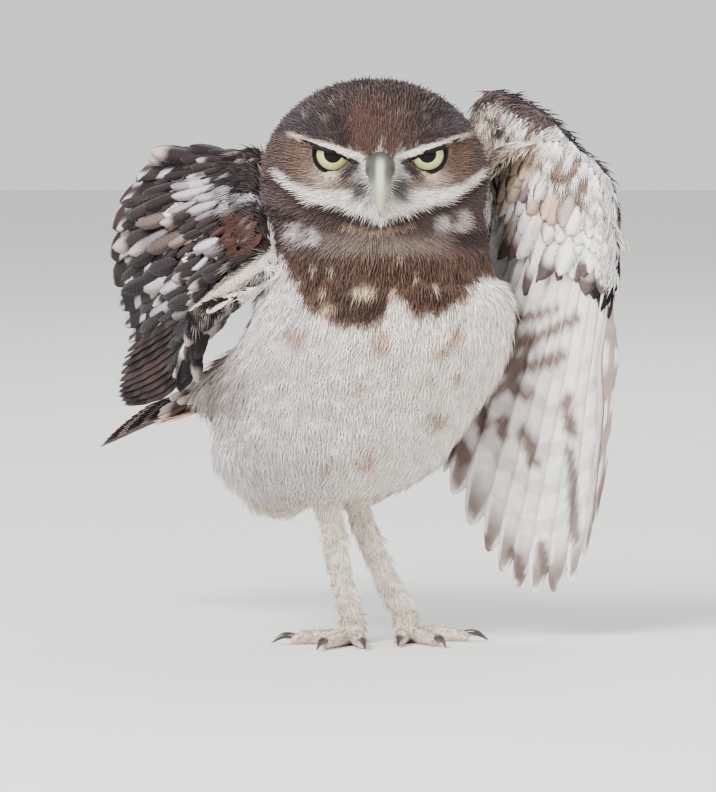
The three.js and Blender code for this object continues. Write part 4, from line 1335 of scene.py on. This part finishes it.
def makeFeet():
    pads, claws = Heap(), Heap()
    start, clawLength = feet["toeStart"], feet["claw"]
    for name, leg in legs.items():
        ankle = [v3(leg["foot"][0], leg["foot"][1], z) for z in (9, 5, 1)]
        pads.add(*limb(ankle, feet["ankleRadii"], 28, 16, 1, (0, 1, 0)))
        for toe in toes:
            point, toeLength = toePath(name, toe)
            path = [point(0, 3), point(start + toeLength * 0.35, 2.2), point(start + toeLength * 0.7, 2.2),
                    point(start + toeLength, 1.8)]
            pads.add(*limb(path, feet["toeRadii"], 24, 24))
            for s in feet["padAt"]:  # soft pads under the joints
                pads.add(*ball(point(start + toeLength * s, 1.9), feet["padRadii"], 20))
            hook = [point(start + toeLength - 2.6, 2.2), point(start + toeLength + clawLength * 0.4, 3.0),
                    point(start + toeLength + clawLength, 0.7)]
            claws.add(*limb(hook, feet["clawRadii"], 20, 24))
    skin = remeshed("toesSkin", pads, feet["voxel"], 3, 0.0)
    points = pointsOf(skin.data)
    points[:, 2] = np.maximum(points[:, 2], feet["floor"])
    movePoints(skin.data, points)
    tint = np.tile(feet["skin"], (len(points), 1))
    tint = over(tint, feet["crease"], smooth(cloudy(points, 2.5, 21), 0, 0.8) * 0.7)
    setAttribute(skin.data, "tint", "FLOAT_COLOR", tint)
    normals = normalsOf(skin.data)
    leg = np.array([legs["left"]["foot"] if p[0] > owl["faceMiddle"] else legs["right"]["foot"]
                    for p in points])
    away = unit((points - leg) * [1, 1, 0]) + v3(0, 0, -0.3)
    away = unit(away - normals * (away * normals).sum(axis=1, keepdims=True))
    setAttributes(skin.data, lie=away, tipTint=np.clip(tint * 1.25, 0, 1),
                  length=np.full(len(points), feet["hairLength"]),
                  width=np.full(len(points), feet["hairWidth"]), upside=smooth(normals[:, 2], -0.2, 0.3))
    unwrap(skin)
    material, tree, shader = newMaterial("toeSkin", Roughness=0.6)
    paintMottled(tree, shader, attributeColour(tree, "tint"), 700.0, 0.35)
    scales = fineTexture(tree, "ShaderNodeTexVoronoi", 900.0)
    addBump(tree, shader, scales, 0.7, 0.0005)
    skin.data.materials.append(material)
    skin.name = "toes_skin"
    finishPiece(skin, "toes", *[f"{legName}_toe_{toe}" for legName in legs for toe in toes])
    hairs = grow("toe_bristles", skin, coatTree, Leaf=leaves["wisp"], Region="upside",
                 Spacing=feet["hairSpacing"], Rise=0.3,
                    Jitter=0.2, Size_vary=0.3, Seed=61, Material=downy)
    finishPiece(hairs, "pale_feathers")
    piece = makePiece("claws_horn", *claws.all())
    facingOut(piece)
    material, tree, shader = newMaterial("clawHorn", Roughness=0.3, Coat_Weight=0.3, Coat_Roughness=0.15)
    paintMottled(tree, shader, feet["clawTint"], 500.0, 0.6)
    grain = fineTexture(tree, "ShaderNodeTexNoise", 1200.0)
    addBump(tree, shader, grain, 0.3, 0.0002)
    piece.data.materials.append(material)
    finishPiece(piece, "claws", *[f"{legName}_claw_{toe}" for legName in legs for toe in toes])


makeBill()
makeFeet()
finishPiece(body, "pale_feathers", "head", "neck", "torso",
            *[f"{s}_{p}" for s in legs for p in ("thigh", "shank")])
print("bill and feet ready")


# Wings and tail.

wings = {
    "left": {
        "shoulder": v3(27, 22, 126), "elbow": v3(38, 34, 173), "forearm": v3(54, 10, 166),
        "wrist": v3(63, -5, 158),
        "knuckle": v3(73, -8, 148), "handTip": v3(77, -4, 116), "webEdge": v3(37, 8, 166),
        "tips": [[74, 14, 44], [64, 17, 18], [49, 21, 15], [37, 27, 28], [24, 38, 50], [22, 42, 60],
                 [20, 48, 74], [23, 54, 89], [28, 58, 104]],
        "alulaTips": [[81, -6, 126], [79, -11, 133]], "upper": v3(0.5, 0.8, 0.2),
        "covertTips": [0.04, 0.15, 0.255, 0.31, 0.40, 0.41, 0.42, 0.46, 0.5], "bow": v3(0, 0, 0),
        "upperReach": 0.3,
    },
    "right": {
        "shoulder": v3(-23, 22, 126), "elbow": v3(-37, 46, 153), "forearm": v3(-36, 20, 142),
        "wrist": v3(-33, -8, 123), "knuckle": v3(-44, 4, 115), "handTip": v3(-57, 22, 105),
        "webEdge": v3(-33, 18, 138),
        "tips": [[-81, 78, 71], [-83, 82, 74], [-83, 85, 78], [-82, 86, 84], [-80, 86, 90], [-82, 84, 100],
                 [-86, 83, 117], [-84, 85, 136], [-73, 84, 152]],
        "alulaTips": [[-58, 18, 104], [-51, 7, 106]], "upper": v3(-0.9, -0.4, 0.3),
        "covertTips": [0.42, 0.42, 0.42, 0.44, 0.46, 0.48, 0.5, 0.52, 0.52], "bow": v3(10, -4, -6),
        "upperReach": 0.62,
    },
}


def between(rootLine, tipLine, upper, arch):
    def surface(a, d):
        a, d = np.broadcast_arrays(np.atleast_1d(a).astype(float), np.atleast_1d(d).astype(float))
        base = mixed(pathAt(rootLine, a), pathAt(tipLine, a), d[:, None])
        return base + upper * (np.sin(math.pi * d) * arch)[:, None]
    return surface


def frameOn(surface, upper, a, d):  # sideways and outward directions on a wing's surface
    nudge = 0.01
    side = (surface(a + nudge, d) - surface(a - nudge, d)) / (2 * nudge)
    run = (surface(a, d + nudge) - surface(a, d - nudge)) / (2 * nudge)
    up = unit(np.cross(run, side))
    up = up * np.where((up * upper).sum(axis=1) < 0, -1, 1)[:, None]
    return side, run, up


wingTints = {key: srgb(*shown) for key, shown in {
    "whitePale": (252, 246, 242), "bar": (100, 74, 64), "tipBrown": (108, 84, 76),
    "pinkBrown": (160, 136, 128), "upperBrown": (74, 53, 47), "upperBar": (190, 160, 134),
    "darkPrimary": (26, 19, 19), "primaryBar": (70, 54, 50), "ochre": (182, 140, 96),
    "orange": (206, 160, 116), "olive": (134, 112, 84), "bandDark": (84, 60, 56),
    "purpleBrown": (46, 33, 34), "lavender": (206, 196, 200), "cream": (236, 222, 204),
    "shaft": (214, 196, 176), "buff": (226, 204, 176), "speckle": (124, 88, 64), "alula": (222, 208, 194),
    "alulaShade": (190, 174, 166), "primaryLight": (58, 42, 42), "farUnder": (72, 54, 47),
    "farUnderDark": (36, 27, 26), "farDark": (20, 14, 16), "farPatch": (150, 126, 116),
    "coverTip": (78, 56, 52), "coverMark": (176, 160, 156), "tail": (46, 34, 34),
    "tailBar": (220, 206, 192), "tailUnderBar": (92, 72, 66), "tailUnder": (214, 184, 152),
}.items()}


vaneShape = {"rows": 44, "columns": 9, "thick": 0.55, "edge": 0.16, "shaft": 0.5, "narrowest": 3,
             "clearance": 1.05}


def vaneOutline(d):
    broad = np.interp(d, [0, 0.12, 0.3, 0.7, 0.9, 1], [0.55, 0.85, 1, 1, 0.82, 0.55])
    return broad * np.sqrt(np.clip(1 - ((d - 0.9) / 0.102) ** 2 * (d > 0.9), 0.004, 1))


def fanOfVanes(heap, surface, upper, start, end, count, cover=0.76, reach=1.0, lift=0.0, paint=None,
               looks=None):
    step = (end - start) / (count - 1)
    rows, columns = vaneShape["rows"], vaneShape["columns"]
    d = 1 - (1 - np.linspace(0, 1, rows)) ** 1.25
    c = np.linspace(-1, 1, columns)
    for i in range(count):
        a = start + i * step
        down = d * reach
        side, run, up = frameOn(surface, upper, np.full(rows, a), down)
        side = side * step
        spacing = np.linalg.norm(side, axis=1)
        half = np.maximum(cover * spacing, vaneShape["narrowest"]) * vaneOutline(d)
        half = half * (1 + 0.05 * np.sin(d * 47 + i * 2.1) * smooth(d, 0.5, 0.9))
        spine = surface(np.full(rows, a), down)
        grid = (spine[:, None] + side[:, None] * (c[None] * half[:, None] / spacing[:, None])[..., None]
                + up[:, None] * (-c[None] * (half * vaneShape["clearance"] / spacing)[:, None] + lift
                                 + 0.35 * (1 - c[None] ** 2) * (half / 8)[:, None])[..., None])
        thick = np.tile(mixed(vaneShape["edge"], vaneShape["thick"], 1 - c**2), (rows, 1))
        points, faces = sheet(grid, thick)
        total = rows * columns
        outs = (points[:total] - points[total:]).reshape(rows, columns, 3)
        topIsUpper = (outs * up[:, None]).sum() > 0
        length = float(np.linalg.norm(np.diff(spine, axis=0), axis=1).sum())
        travelled = np.r_[0, np.cumsum(np.linalg.norm(np.diff(spine, axis=0), axis=1))]
        leaf = np.c_[np.tile(c * 0.5 + 0.5, rows), np.repeat(d, columns)]
        fromTip = np.repeat(length - travelled, columns)
        onUpper = np.r_[np.full(total, topIsUpper), np.full(total, not topIsUpper)]
        heap.add(points, faces)
        looks.append(paint(points, np.r_[leaf, leaf], np.r_[fromTip, fromTip], onUpper, i, a))
        # the shaft, a little proud of both faces
        shaftRadius = vaneShape["shaft"] * mixed(1, 0.3, d[::3])
        middle = grid[::3, columns // 2]
        across = unit(side[::3])
        tube = [oval(middle[k], across[k], up[::3][k], shaftRadius[k] * 0.7, shaftRadius[k], 6)
                for k in range(len(middle))]
        heap.add(np.concatenate(tube), ringFaces(len(middle), 6))
        shaftLeaf = np.c_[np.full(len(middle) * 6, 0.5), np.repeat(d[::3], 6)]
        shaftTip = np.repeat((length - travelled)[::3], 6)
        shaftLook = paint(np.concatenate(tube), shaftLeaf, shaftTip,
                          np.tile([True, True, True, False, False, False], len(middle)), i, a)
        shaftLook[:, 0:3] = np.clip(shaftLook[:, 0:3] * 0.5 + wingTints["shaft"] * 0.5, 0, 1)
        shaftLook[:, 6] *= 0.3
        looks.append(shaftLook)


# Each look is tint 0-3, bar tint 3-6, barring 6, from tip 7, leaf 8-10, vary 10.
def packLook(tint, barTint, barring, fromTip, leaf, vary):
    n = len(fromTip)
    return np.c_[np.broadcast_to(tint, (n, 3)), np.broadcast_to(barTint, (n, 3)), np.broadcast_to(barring, n),
                 fromTip,
                 leaf, np.full(n, vary)]


def makeBarring():  # bars across a feather, counted from its tip
    tree, given, result = newTree("barring", "ShaderNodeTree", [
        ("From tip", "NodeSocketFloat", 0.0), ("Map", "NodeSocketVector", None),
        ("Spacing", "NodeSocketFloat", 14.0),
        ("Width", "NodeSocketFloat", 0.4), ("Chevron", "NodeSocketFloat", 5.0)],
        [("Mask", "NodeSocketFloat")])
    split = put(tree, "ShaderNodeSeparateXYZ", {0: given["Map"]})
    aside = maths(tree, "ABSOLUTE", maths(tree, "SUBTRACT", split.outputs[0], 0.5))
    place = put(tree, "ShaderNodeTexCoord").outputs["Object"]
    cloud = put(tree, "ShaderNodeTexNoise", {"Vector": place, "Scale": 160.0, "Detail": 2.0})
    wander = maths(tree, "MULTIPLY_ADD", cloud.outputs[0], 5.0, -2.5)
    reading = maths(tree, "ADD", maths(tree, "MULTIPLY_ADD", aside, given["Chevron"], given["From tip"]),
                    wander)
    phase = maths(tree, "FRACT", maths(tree, "DIVIDE", reading, given["Spacing"]))
    middle = maths(tree, "ABSOLUTE", maths(tree, "SUBTRACT", phase, 0.5))
    half = maths(tree, "MULTIPLY", given["Width"], 0.5)
    mask = put(tree, "ShaderNodeMapRange",
               {"Value": maths(tree, "SUBTRACT", half, middle), "From Min": -0.05, "From Max": 0.05},
               interpolation_type="SMOOTHSTEP").outputs["Result"]
    tree.links.new(mask, result["Mask"])
    return tree


barringGroup = makeBarring()


def flightMaterial(name, spacing, barWidth):
    material, tree, shader = newMaterial(name, Roughness=0.65, Specular_IOR_Level=0.2)
    leaf = put(tree, "ShaderNodeAttribute", attribute_name="leaf").outputs["Vector"]
    mask = useGroup(tree, barringGroup,
                    {"From tip": attributeValue(tree, "fromTip"), "Map": leaf, "Spacing": spacing,
                                         "Width": barWidth})["Mask"]
    mask = maths(tree, "MULTIPLY", mask, attributeValue(tree, "barring"))
    colour = blendColours(tree, mask, attributeColour(tree, "tint"), attributeColour(tree, "barTint"))
    barbs = useGroup(tree, barbsGroup, {"Map": leaf, "Count": 90.0, "Slant": 0.22})
    varied = maths(tree, "MULTIPLY", barbs["Shade"], attributeValue(tree, "vary"))
    colour = shadedBy(tree, colour, varied)
    paintMottled(tree, shader, colour, 260.0, 0.3)
    addBump(tree, shader, barbs["Height"], 0.4, 0.0003)
    return material


def leftUnder(x, z):  # colours of the open wing's lining, as they stand in the front view
    n = len(x)
    grid = np.c_[x, np.zeros(n), z]
    noiseA, noiseB = cloudy(grid, 5, 31), cloudy(grid, 2.4, 33)
    xn, zn = x + noiseB * 1.5, z + noiseA * 1.5
    colour = np.tile(wingTints["whitePale"], (n, 1))
    colour = layered(colour, wingTints, [
        ("buff", spots(xn, zn, [[33, 164, 8], [40, 157, 7]]) * 0.7),
        ("ochre", spots(xn, zn, [[49, 154, 6], [46, 150, 5], [43, 145, 4]]) * 0.7),
    ])
    speckle = strokes(xn, zn, [[50, 163, 54, 164, 1.0], [53, 160, 58, 161, 1.0], [58, 153, 62, 154.5, 1.3],
                               [57, 147, 64, 149, 1.3], [62, 144, 68, 146, 1.0], [59, 141, 66, 142, 1.2],
                               [60, 138.5, 68, 139.5, 1.3], [65.5, 155, 69, 152, 1.6]])
    colour = layered(colour, wingTints, [
        ("speckle", speckle * 0.9),
        ("orange", spots(xn, zn, [[56, 140, 4.5], [55, 135.5, 4.0]]) * 0.8),
    ])
    dashes = strokes(x, z, [[30, 172, 34, 169, 1.2], [39, 166.5, 44, 160, 1.2], [43, 158, 47, 153, 0.9],
                            [37, 151.5, 41, 150, 1.1], [48, 147, 50, 142, 1.2]])
    colour = layered(colour, wingTints, [
        ("bandDark", dashes * 0.85),
        ("olive", spots(xn, zn, [[41, 137, 4.5], [45, 134, 4.0]]) * 0.8),
        ("bandDark", spots(xn, zn, [[46, 127, 3.0], [48.5, 123, 3.0]]) * 0.8),
    ])
    band = strokes(x, z + noiseB,
                   [[26.6, 171, 30, 176, 3.0], [30, 176, 40, 178, 4.4], [40, 178, 56.3, 168.5, 3.2]])
    return over(colour, wingTints["bandDark"], band * 0.95)


wingMarks = {  # dark bars of the open wing in the front view, each [x0, z0, x1, z1, half width]
    "bars": [[43, 96, 50, 97, 3.2], [50, 97, 65, 104.5, 2.0], [36, 88, 46, 90, 3.4], [46, 88, 60, 92, 2.2],
             [44, 84, 49, 80, 2.4], [34, 76, 36, 70, 2.2], [41.6, 72, 41.6, 67, 2.2], [49, 68, 52, 58, 2.2],
             [62, 78, 64, 68, 2.0], [26, 68, 29, 60, 3.4], [38.4, 92, 40, 82, 2.6], [45, 104, 58, 107, 1.6]],
    "streak": [[63.6, 62, 65, 34, 1.7], [36, 34, 40, 24, 1.8], [45, 30, 49, 18, 1.8], [54, 32, 57, 18, 1.8]],
}


def paintLeft(points, leaf, fromTip, onUpper, i, a):
    n = len(points)
    x, z = seen(points)
    noiseA = cloudy(np.c_[x, np.zeros(n), z], 4, 41)
    aside = np.abs(leaf[:, 0] - 0.5) * 2
    outermost = 1 - smooth(np.full(n, a), 0.03, 0.1)
    under = np.tile(wingTints["whitePale"], (n, 1))
    under = layered(under, wingTints, [
        ("pinkBrown", outermost * 0.95),
        ("bar", strokes(x + noiseA, z + noiseA, wingMarks["bars"]) * 0.9),
        ("bandDark", strokes(x + noiseA * 0.5, z, wingMarks["streak"]) * 0.85),
    ])
    edge = (1 - smooth(fromTip, 6, 20)) * (1 - smooth(aside, 0.45, 0.8)) * smooth(fromTip, 1.5, 3.5)
    under = over(under, wingTints["tipBrown"], edge * 0.85)
    notches = outermost * smooth(np.sin(fromTip / 17.6 * math.tau + 1.2), 0.0, 0.4) * smooth(aside, 0.2, 0.4)
    under = over(under, wingTints["whitePale"], notches * 0.9)
    upper = np.tile(wingTints["upperBrown"], (n, 1))
    tint = np.where(onUpper[:, None], upper, under)
    bars = np.where(onUpper[:, None], wingTints["upperBar"], wingTints["bar"])
    lowHalf = smooth(fromTip, 14, 22) * (1 - smooth(fromTip, 60, 95))
    barring = np.where(onUpper, 0.8, 0.22 * lowHalf * (1 - outermost))
    return packLook(tint, bars, barring, fromTip + i * 2.3, leaf, 1 + 0.04 * math.sin(i * 3.7))


def paintAlula(points, leaf, fromTip, onUpper, i, a):
    n = len(points)
    tint = np.tile(wingTints["alula"], (n, 1))
    if i % 2 == 0:
        tint = over(tint, wingTints["alulaShade"], 1 - smooth(np.abs(leaf[:, 0] - 0.4), 0.1, 0.3))
    tint = over(tint, wingTints["cream"], smooth(np.abs(leaf[:, 0] - 0.5), 0.3, 0.45))
    return packLook(tint, wingTints["bar"], 0.12, fromTip, leaf, 1.0)


def paintRight(points, leaf, fromTip, onUpper, i, a):
    n = len(points)
    aside = leaf[:, 0]
    x, z = seen(points)
    shade = cloudy(np.c_[x, np.zeros(n), z], 6, 43)
    upper = over(np.tile(wingTints["darkPrimary"], (n, 1)), wingTints["primaryLight"],
                 smooth(shade, -0.2, 0.6) * 0.8)
    upper = over(upper, wingTints["lavender"], (1 - smooth(fromTip, 0.8, 2.2)) * 0.8)
    under = over(np.tile(wingTints["farUnder"], (n, 1)), wingTints["farUnderDark"],
                 smooth(shade, 0, 0.8) * 0.6)
    tint = np.where(onUpper[:, None], upper, under)
    primary = a < 0.5
    bars = np.tile(wingTints["primaryBar"] if primary else wingTints["lavender"], (n, 1))
    spotty = smooth(np.abs(aside - 0.5), 0.1, 0.2) * (1 - smooth(np.abs(aside - 0.5), 0.38, 0.46))
    return packLook(tint, bars, 0.55 if primary else 0.75 * spotty, fromTip + i * 1.9, leaf,
                    1 + 0.05 * math.sin(i * 2.9))


def paintTail(points, leaf, fromTip, onUpper, i, a):
    n = len(points)
    tint = np.tile(wingTints["tail"], (n, 1))
    tint = over(tint, wingTints["cream"], (1 - smooth(fromTip, 0.6, 1.8)) * 0.7)
    edge = smooth(np.abs(leaf[:, 0] - 0.5), 0.3, 0.42)
    bars = np.where(onUpper[:, None], wingTints["tailBar"], wingTints["tailUnderBar"])
    return packLook(tint, bars, np.where(onUpper, mixed(0.1, 1.0, edge), 0.35), fromTip + 2, leaf,
                    1 + 0.05 * math.sin(i * 2.2))


def flightPiece(name, heap, looks, material, slot, *nodes):
    points, faces = heap.all()
    piece = facingOut(makePiece(name, points, faces))
    look = np.concatenate(looks)
    mesh = piece.data
    setAttributes(mesh, tint=look[:, 0:3], barTint=look[:, 3:6], barring=look[:, 6], fromTip=look[:, 7],
                  leaf=np.c_[look[:, 8:10], np.zeros(len(look))], vary=look[:, 10])
    mesh.materials.append(material)
    print(f"{name}: {sum(len(p.vertices) - 2 for p in mesh.polygons)} triangles")
    return finishPiece(piece, slot, *nodes)


flightPlumage = flightMaterial("flightPlumage", 13.0, 0.36)


def onStrip(x, z):  # the smooth pale front edge of the far wing
    return strokes(x, z, [[-30, 125.4, -57.6, 106.8, 1.9]])


def rightUpper(x, z):
    n = len(x)
    grid = np.c_[x, np.zeros(n), z]
    noiseA, noiseB = cloudy(grid, 5, 35), cloudy(grid, 2.2, 37)
    colour = np.tile(wingTints["purpleBrown"], (n, 1))
    colour = layered(colour, wingTints, [
        ("farDark", np.maximum(smooth(noiseA, 0, 0.7), 1 - smooth(z, 116, 128)) * 0.75),
        ("farPatch", spots(x + noiseB, z + noiseA, [[-70, 134, 3.4], [-63, 129, 3.0]]) * 0.8),
    ])
    colour = over(colour, tints["chestnut"],
                  spots(x + noiseB, z, [[-47, 133, 6], [-40, 132, 6], [-44, 128, 5]]) * 0.85)
    pale = spots(x, z, [[-47.6, 139.7, 2.2], [-42.9, 142, 2.4], [-37.3, 141, 2.6], [-52.7, 127.4, 2.6],
                        [-57, 123, 2.4], [-69, 114, 1.8], [-64.8, 113.5, 2.0], [-58.7, 113.4, 1.6],
                        [-55.3, 114.8, 1.4], [-68.6, 106.7, 1.8], [-64, 120, 1.5], [-71, 122, 1.5],
                        [-61, 107, 1.6], [-74, 129, 1.6], [-73, 112, 1.4]])
    colour = over(colour, wingTints["lavender"], pale * smooth(noiseB, -1.4, -0.4) * 0.85)
    strip = onStrip(x, z)
    pinkish = spots(x + noiseB, z + noiseA, [[-57, 146, 5], [-52, 143, 6], [-60, 141, 3.4]])
    colour = over(colour, wingTints["lavender"], pinkish * 0.8)
    return over(colour, wingTints["cream"], strip)


def wingSkinPaint(name, points, normals):
    x, z = seen(points)
    onUpper = (normals * wings[name]["upper"]).sum(axis=1) > 0
    if name == "left":
        under, upper = leftUnder(x, z), rightUpper(-x, z)
    else:
        under, upper = leftUnder(-x, z + 20), rightUpper(x, z)
    return np.where(onUpper[:, None], upper, under)


coverts = {  # rows from the back forward: [where tips end, length, width, count, lift]
    "under": [[1.0, 24, 8.5, 30, 1.3], [0.86, 20, 7.5, 38, 1.9], [0.7, 14, 8, 60, 2.5],
              [0.55, 12, 8, 70, 3.1], [0.42, 11, 7, 76, 3.6], [0.3, 10, 7, 80, 4.1],
              [0.2, 9, 6, 80, 4.6]],
    "upper": [[0.9, 22, 6.5, 18, 1.2], [0.78, 20, 6, 24, 1.6], [0.66, 18, 5.5, 30, 2.0],
              [0.54, 16, 5.2, 34, 2.5], [0.43, 14, 5, 38, 3.0], [0.33, 12, 4.6, 42, 3.5],
              [0.24, 11, 6.5, 60, 3.9], [0.16, 10, 6.5, 64, 4.3], [0.09, 9, 6, 66, 4.7]],
}


vaneRows = {"hand": (0.02, 0.475, 10), "arm": (0.53, 0.97, 8)}  # from, to along the wing, and how many
wingSkin = {  # radii in millimetres, the wisps of the lining in metres
    "inside": v3(0, 14, 112), "shoulder": [9, 8, 4.4], "forearm": [4.4, 4.4, 3.6], "hand": [3.6, 3.6, 2.4],
    "web": 2.4, "voxel": 0.0009, "rounds": 4, "sink": 0.5, "wispLength": 0.0062, "bareLength": 0.0012,
    "wispWidth": 0.0050, "wispSpacing": 0.0012,
}


def makeWing(name):
    wing = wings[name]
    upper = unit(wing["upper"])
    bones = [wing[k] for k in ("handTip", "knuckle", "wrist", "forearm", "elbow")]
    spread = between(bones, wing["tips"], wing["upper"], 3)

    def surface(a, d):  # the outer primaries hang in a curve
        a, d = np.broadcast_arrays(np.atleast_1d(a).astype(float), np.atleast_1d(d).astype(float))
        bend = np.sin(math.pi * d) * np.maximum(0, 1 - 2 * np.clip(a, 0, 1))
        return spread(a, d) + wing["bow"] * bend[:, None]

    paint = paintLeft if name == "left" else paintRight
    for part, (start, end, count) in vaneRows.items():
        heap, looks = Heap(), []
        fanOfVanes(heap, surface, upper, start, end, count, paint=paint, looks=looks)
        if part == "hand":
            alula = between([wing["knuckle"], wing["wrist"]], wing["alulaTips"], wing["upper"], 0)
            fanOfVanes(heap, alula, upper, 0.0, 0.8, 3, paint=paintAlula, looks=looks)
        flightPiece(f"{name}_{part}_quills", heap, looks, flightPlumage, "brown_feathers",
                    f"{name}_wing_{part}")
    # the fleshy arm, hand and the web of skin between them
    flesh = Heap()
    inward = mixed(wing["shoulder"], wingSkin["inside"], 0.5)
    flesh.add(*limb([inward, wing["shoulder"], wing["elbow"]], wingSkin["shoulder"]))
    flesh.add(*limb([wing["elbow"], wing["forearm"], wing["wrist"]], wingSkin["forearm"]))
    flesh.add(*limb([wing["wrist"], wing["knuckle"], wing["handTip"]], wingSkin["hand"]))
    t = np.linspace(0, 1, 24)[:, None]
    front = (1 - t) ** 2 * wing["shoulder"] + 2 * t * (1 - t) * wing["webEdge"] + t**2 * wing["wrist"]
    back = (1 - t) ** 2 * wing["shoulder"] + 2 * t * (1 - t) * wing["elbow"] + t**2 * wing["wrist"]
    s = np.linspace(0, 1, 10)[None, :, None]
    flesh.add(*sheet(front[:, None] * (1 - s) + back[:, None] * s, np.full((24, 10), wingSkin["web"])))
    skin = remeshed(f"{name}_wing_skin", flesh, wingSkin["voxel"], wingSkin["rounds"], wingSkin["sink"])
    points, normals = pointsOf(skin.data), normalsOf(skin.data)
    tint = wingSkinPaint(name, points, normals)
    toTip = unit(pathAt(wing["tips"], np.full(len(points), 0.5)) - points)
    heading = toTip - normals * (toTip * normals).sum(axis=1, keepdims=True)
    setAttributes(skin.data, tint=tint * 0.85, tipTint=np.clip(tint * 1.1, 0, 1), lie=unit(heading))
    bare = onStrip(*seen(points)) if name == "right" else np.zeros(len(points))
    setAttributes(skin.data, length=mixed(wingSkin["wispLength"], wingSkin["bareLength"], bare),
                  width=np.full(len(points), wingSkin["wispWidth"]), whole=np.ones(len(points)))
    unwrap(skin)
    skin.data.materials.append(body.data.materials[0])
    finishPiece(skin, "brown_feathers")
    lining = grow(f"{name}_wing_lining", skin, coatTree, Leaf=leaves["wisp"], Region="whole",
                  Spacing=wingSkin["wispSpacing"], Rise=0.2, Jitter=0.16, Size_vary=0.25, Seed=71,
                  Material=plumage)
    finishPiece(lining, "brown_feathers")
    # rows of coverts, blades at the back of each face and softer plumes over the lining
    tipsAt = lambda a: np.interp(a, np.linspace(0, 1, 9), wing["covertTips"])
    dice = np.random.default_rng(17 if name == "left" else 18)
    for face, (plan, plumes) in {-1: (coverts["under"], 5), 1: (coverts["upper"], 6)}.items():
        made = {"covert": [], "plume": []}
        for k, (reach, baseLength, wide, count, lift) in enumerate(plan):
            a = np.clip(np.linspace(0.01, 0.99, count) + (0.5 if k % 2 else 0.0) / count, 0, 1)
            a = np.clip(a + dice.uniform(-0.2, 0.2, count) / count, 0, 1)
            span = np.linalg.norm(surface(a, 1) - surface(a, 0), axis=1)
            if face < 0:
                end = tipsAt(a) * reach
                scale = np.clip(tipsAt(a) * span / 44, 0.35, 1.2)
            else:
                end = reach * mixed(wing["upperReach"], 1, smooth(a, 0.35, 0.6))
                scale = np.full(count, 1.0)
            featherLength = baseLength * scale * dice.uniform(0.88, 1.12, count)
            end = end + dice.uniform(-0.02, 0.02, count)
            d = end - featherLength / span
            keep = d > -0.06
            if name == "left" and face > 0:
                keep = (d > np.where(a < 0.55, 0.015, -0.06)) & (k > 0)
            if name == "right" and face > 0:
                keep = keep & (onStrip(*seen(surface(a, np.clip(end, 0, 1)))) < 0.2)
            if not keep.any():
                continue
            a, d, featherLength, scale = a[keep], d[keep], featherLength[keep], scale[keep]
            n = len(a)
            side, run, up = frameOn(surface, upper, a, d)
            place = surface(a, d) + up * (face * lift)
            x, z = seen(place + unit(run) * featherLength[:, None] * 0.6)
            if face < 0:
                tint = leftUnder(x, z) if name == "left" else leftUnder(-x, z + 20)
                tip = np.clip(tint * 1.05, 0, 1)
                if k == 0:
                    tip = over(tip, wingTints["coverTip"], np.full(n, 0.95) * (1 - smooth(a, 0.62, 0.8)))
            else:
                tint = rightUpper(x if name == "right" else -x, z)
                marked = (dice.random(n) < 0.2) & (tint.mean(axis=1) < 0.2)
                tip = np.where(marked[:, None], wingTints["coverMark"], tint * 0.85)
            root = np.c_[a * 0.8 + 0.05, np.clip(d, 0, 1) * 0.3 + 0.3 + 0.3 * (face > 0)]
            featherWidth = wide * np.maximum(scale, 0.6) * dice.uniform(0.85, 1.15, n)
            kind = "covert" if k < plumes else "plume"
            made[kind].append([place, run, up * face, featherLength, featherWidth, tint, tip, root])
        for kind, rows in made.items():
            rowPiece(f"{name}_{'under' if face < 0 else 'upper'}_{kind}s", rows, kind,
                     plumage if kind == "covert" else downy,
                     "brown_feathers", rise=0.03, jitter=0.14, vary=0.2, seed=81)


makeWing("left")
makeWing("right")
print("wings ready")


tail = {
    "lateral": unit(v3(0.62, 0.6, 0.5)), "rootHalf": 5, "tipHalf": 13, "feathers": 10, "cover": 1.3,
    "coverts": [(0.12, 24, 9), (0.0, 20, 9), (-0.1, 18, 9), (-0.22, 16, 9)],  # [start, length, how many]
    "covertWidth": 8.0, "lift": 2.0, "liftStep": 1.1,
}


def makeTail():
    root, tip = owl["tailRoot"], owl["tailTip"]
    lateral = tail["lateral"]
    sides = [-1, -0.5, 0, 0.5, 1]
    rootLine = [root + lateral * s * tail["rootHalf"] for s in sides]
    tipLine = [mixed(tip, root, 0.06 * s * s) + lateral * s * tail["tipHalf"] for s in sides]
    surface = between(rootLine, tipLine, v3(0, 0, 1), 1)
    heap, looks = Heap(), []
    fanOfVanes(heap, surface, v3(0, 0, 1), 0.04, 0.96, tail["feathers"], cover=tail["cover"],
               paint=paintTail, looks=looks)
    flightPiece("tail_quills", heap, looks, flightPlumage, "brown_feathers", "tail")
    rows = []
    for face in (-1, 1):
        for k, (d0, baseLength, count) in enumerate(tail["coverts"]):
            a = np.linspace(0.0, 1.0, count)
            d = np.full(count, d0)
            side, run, up = frameOn(surface, v3(0, 0, 1), a, d)
            place = surface(a, d) + up * face * (tail["lift"] + tail["liftStep"] * k)
            tint = np.tile(wingTints["tailUnder"] if face < 0 else tints["back"], (count, 1))
            tip = np.tile(wingTints["cream"] if face < 0 else tints["spot"], (count, 1))
            rootUv = np.c_[a * 0.3 + 0.1, np.full(count, 0.1 + 0.05 * k + 0.3 * (face > 0))]
            size = [np.full(count, float(baseLength)), np.full(count, tail["covertWidth"])]
            rows.append([place, run, up * face, *size, tint, tip, rootUv])
    rowPiece("tail_coverts", rows, "covert", plumage, "brown_feathers", rise=0.02, jitter=0.08, vary=0.15,
             seed=91)


makeTail()
for leaf in leaves.values():
    bpy.data.objects.remove(leaf)

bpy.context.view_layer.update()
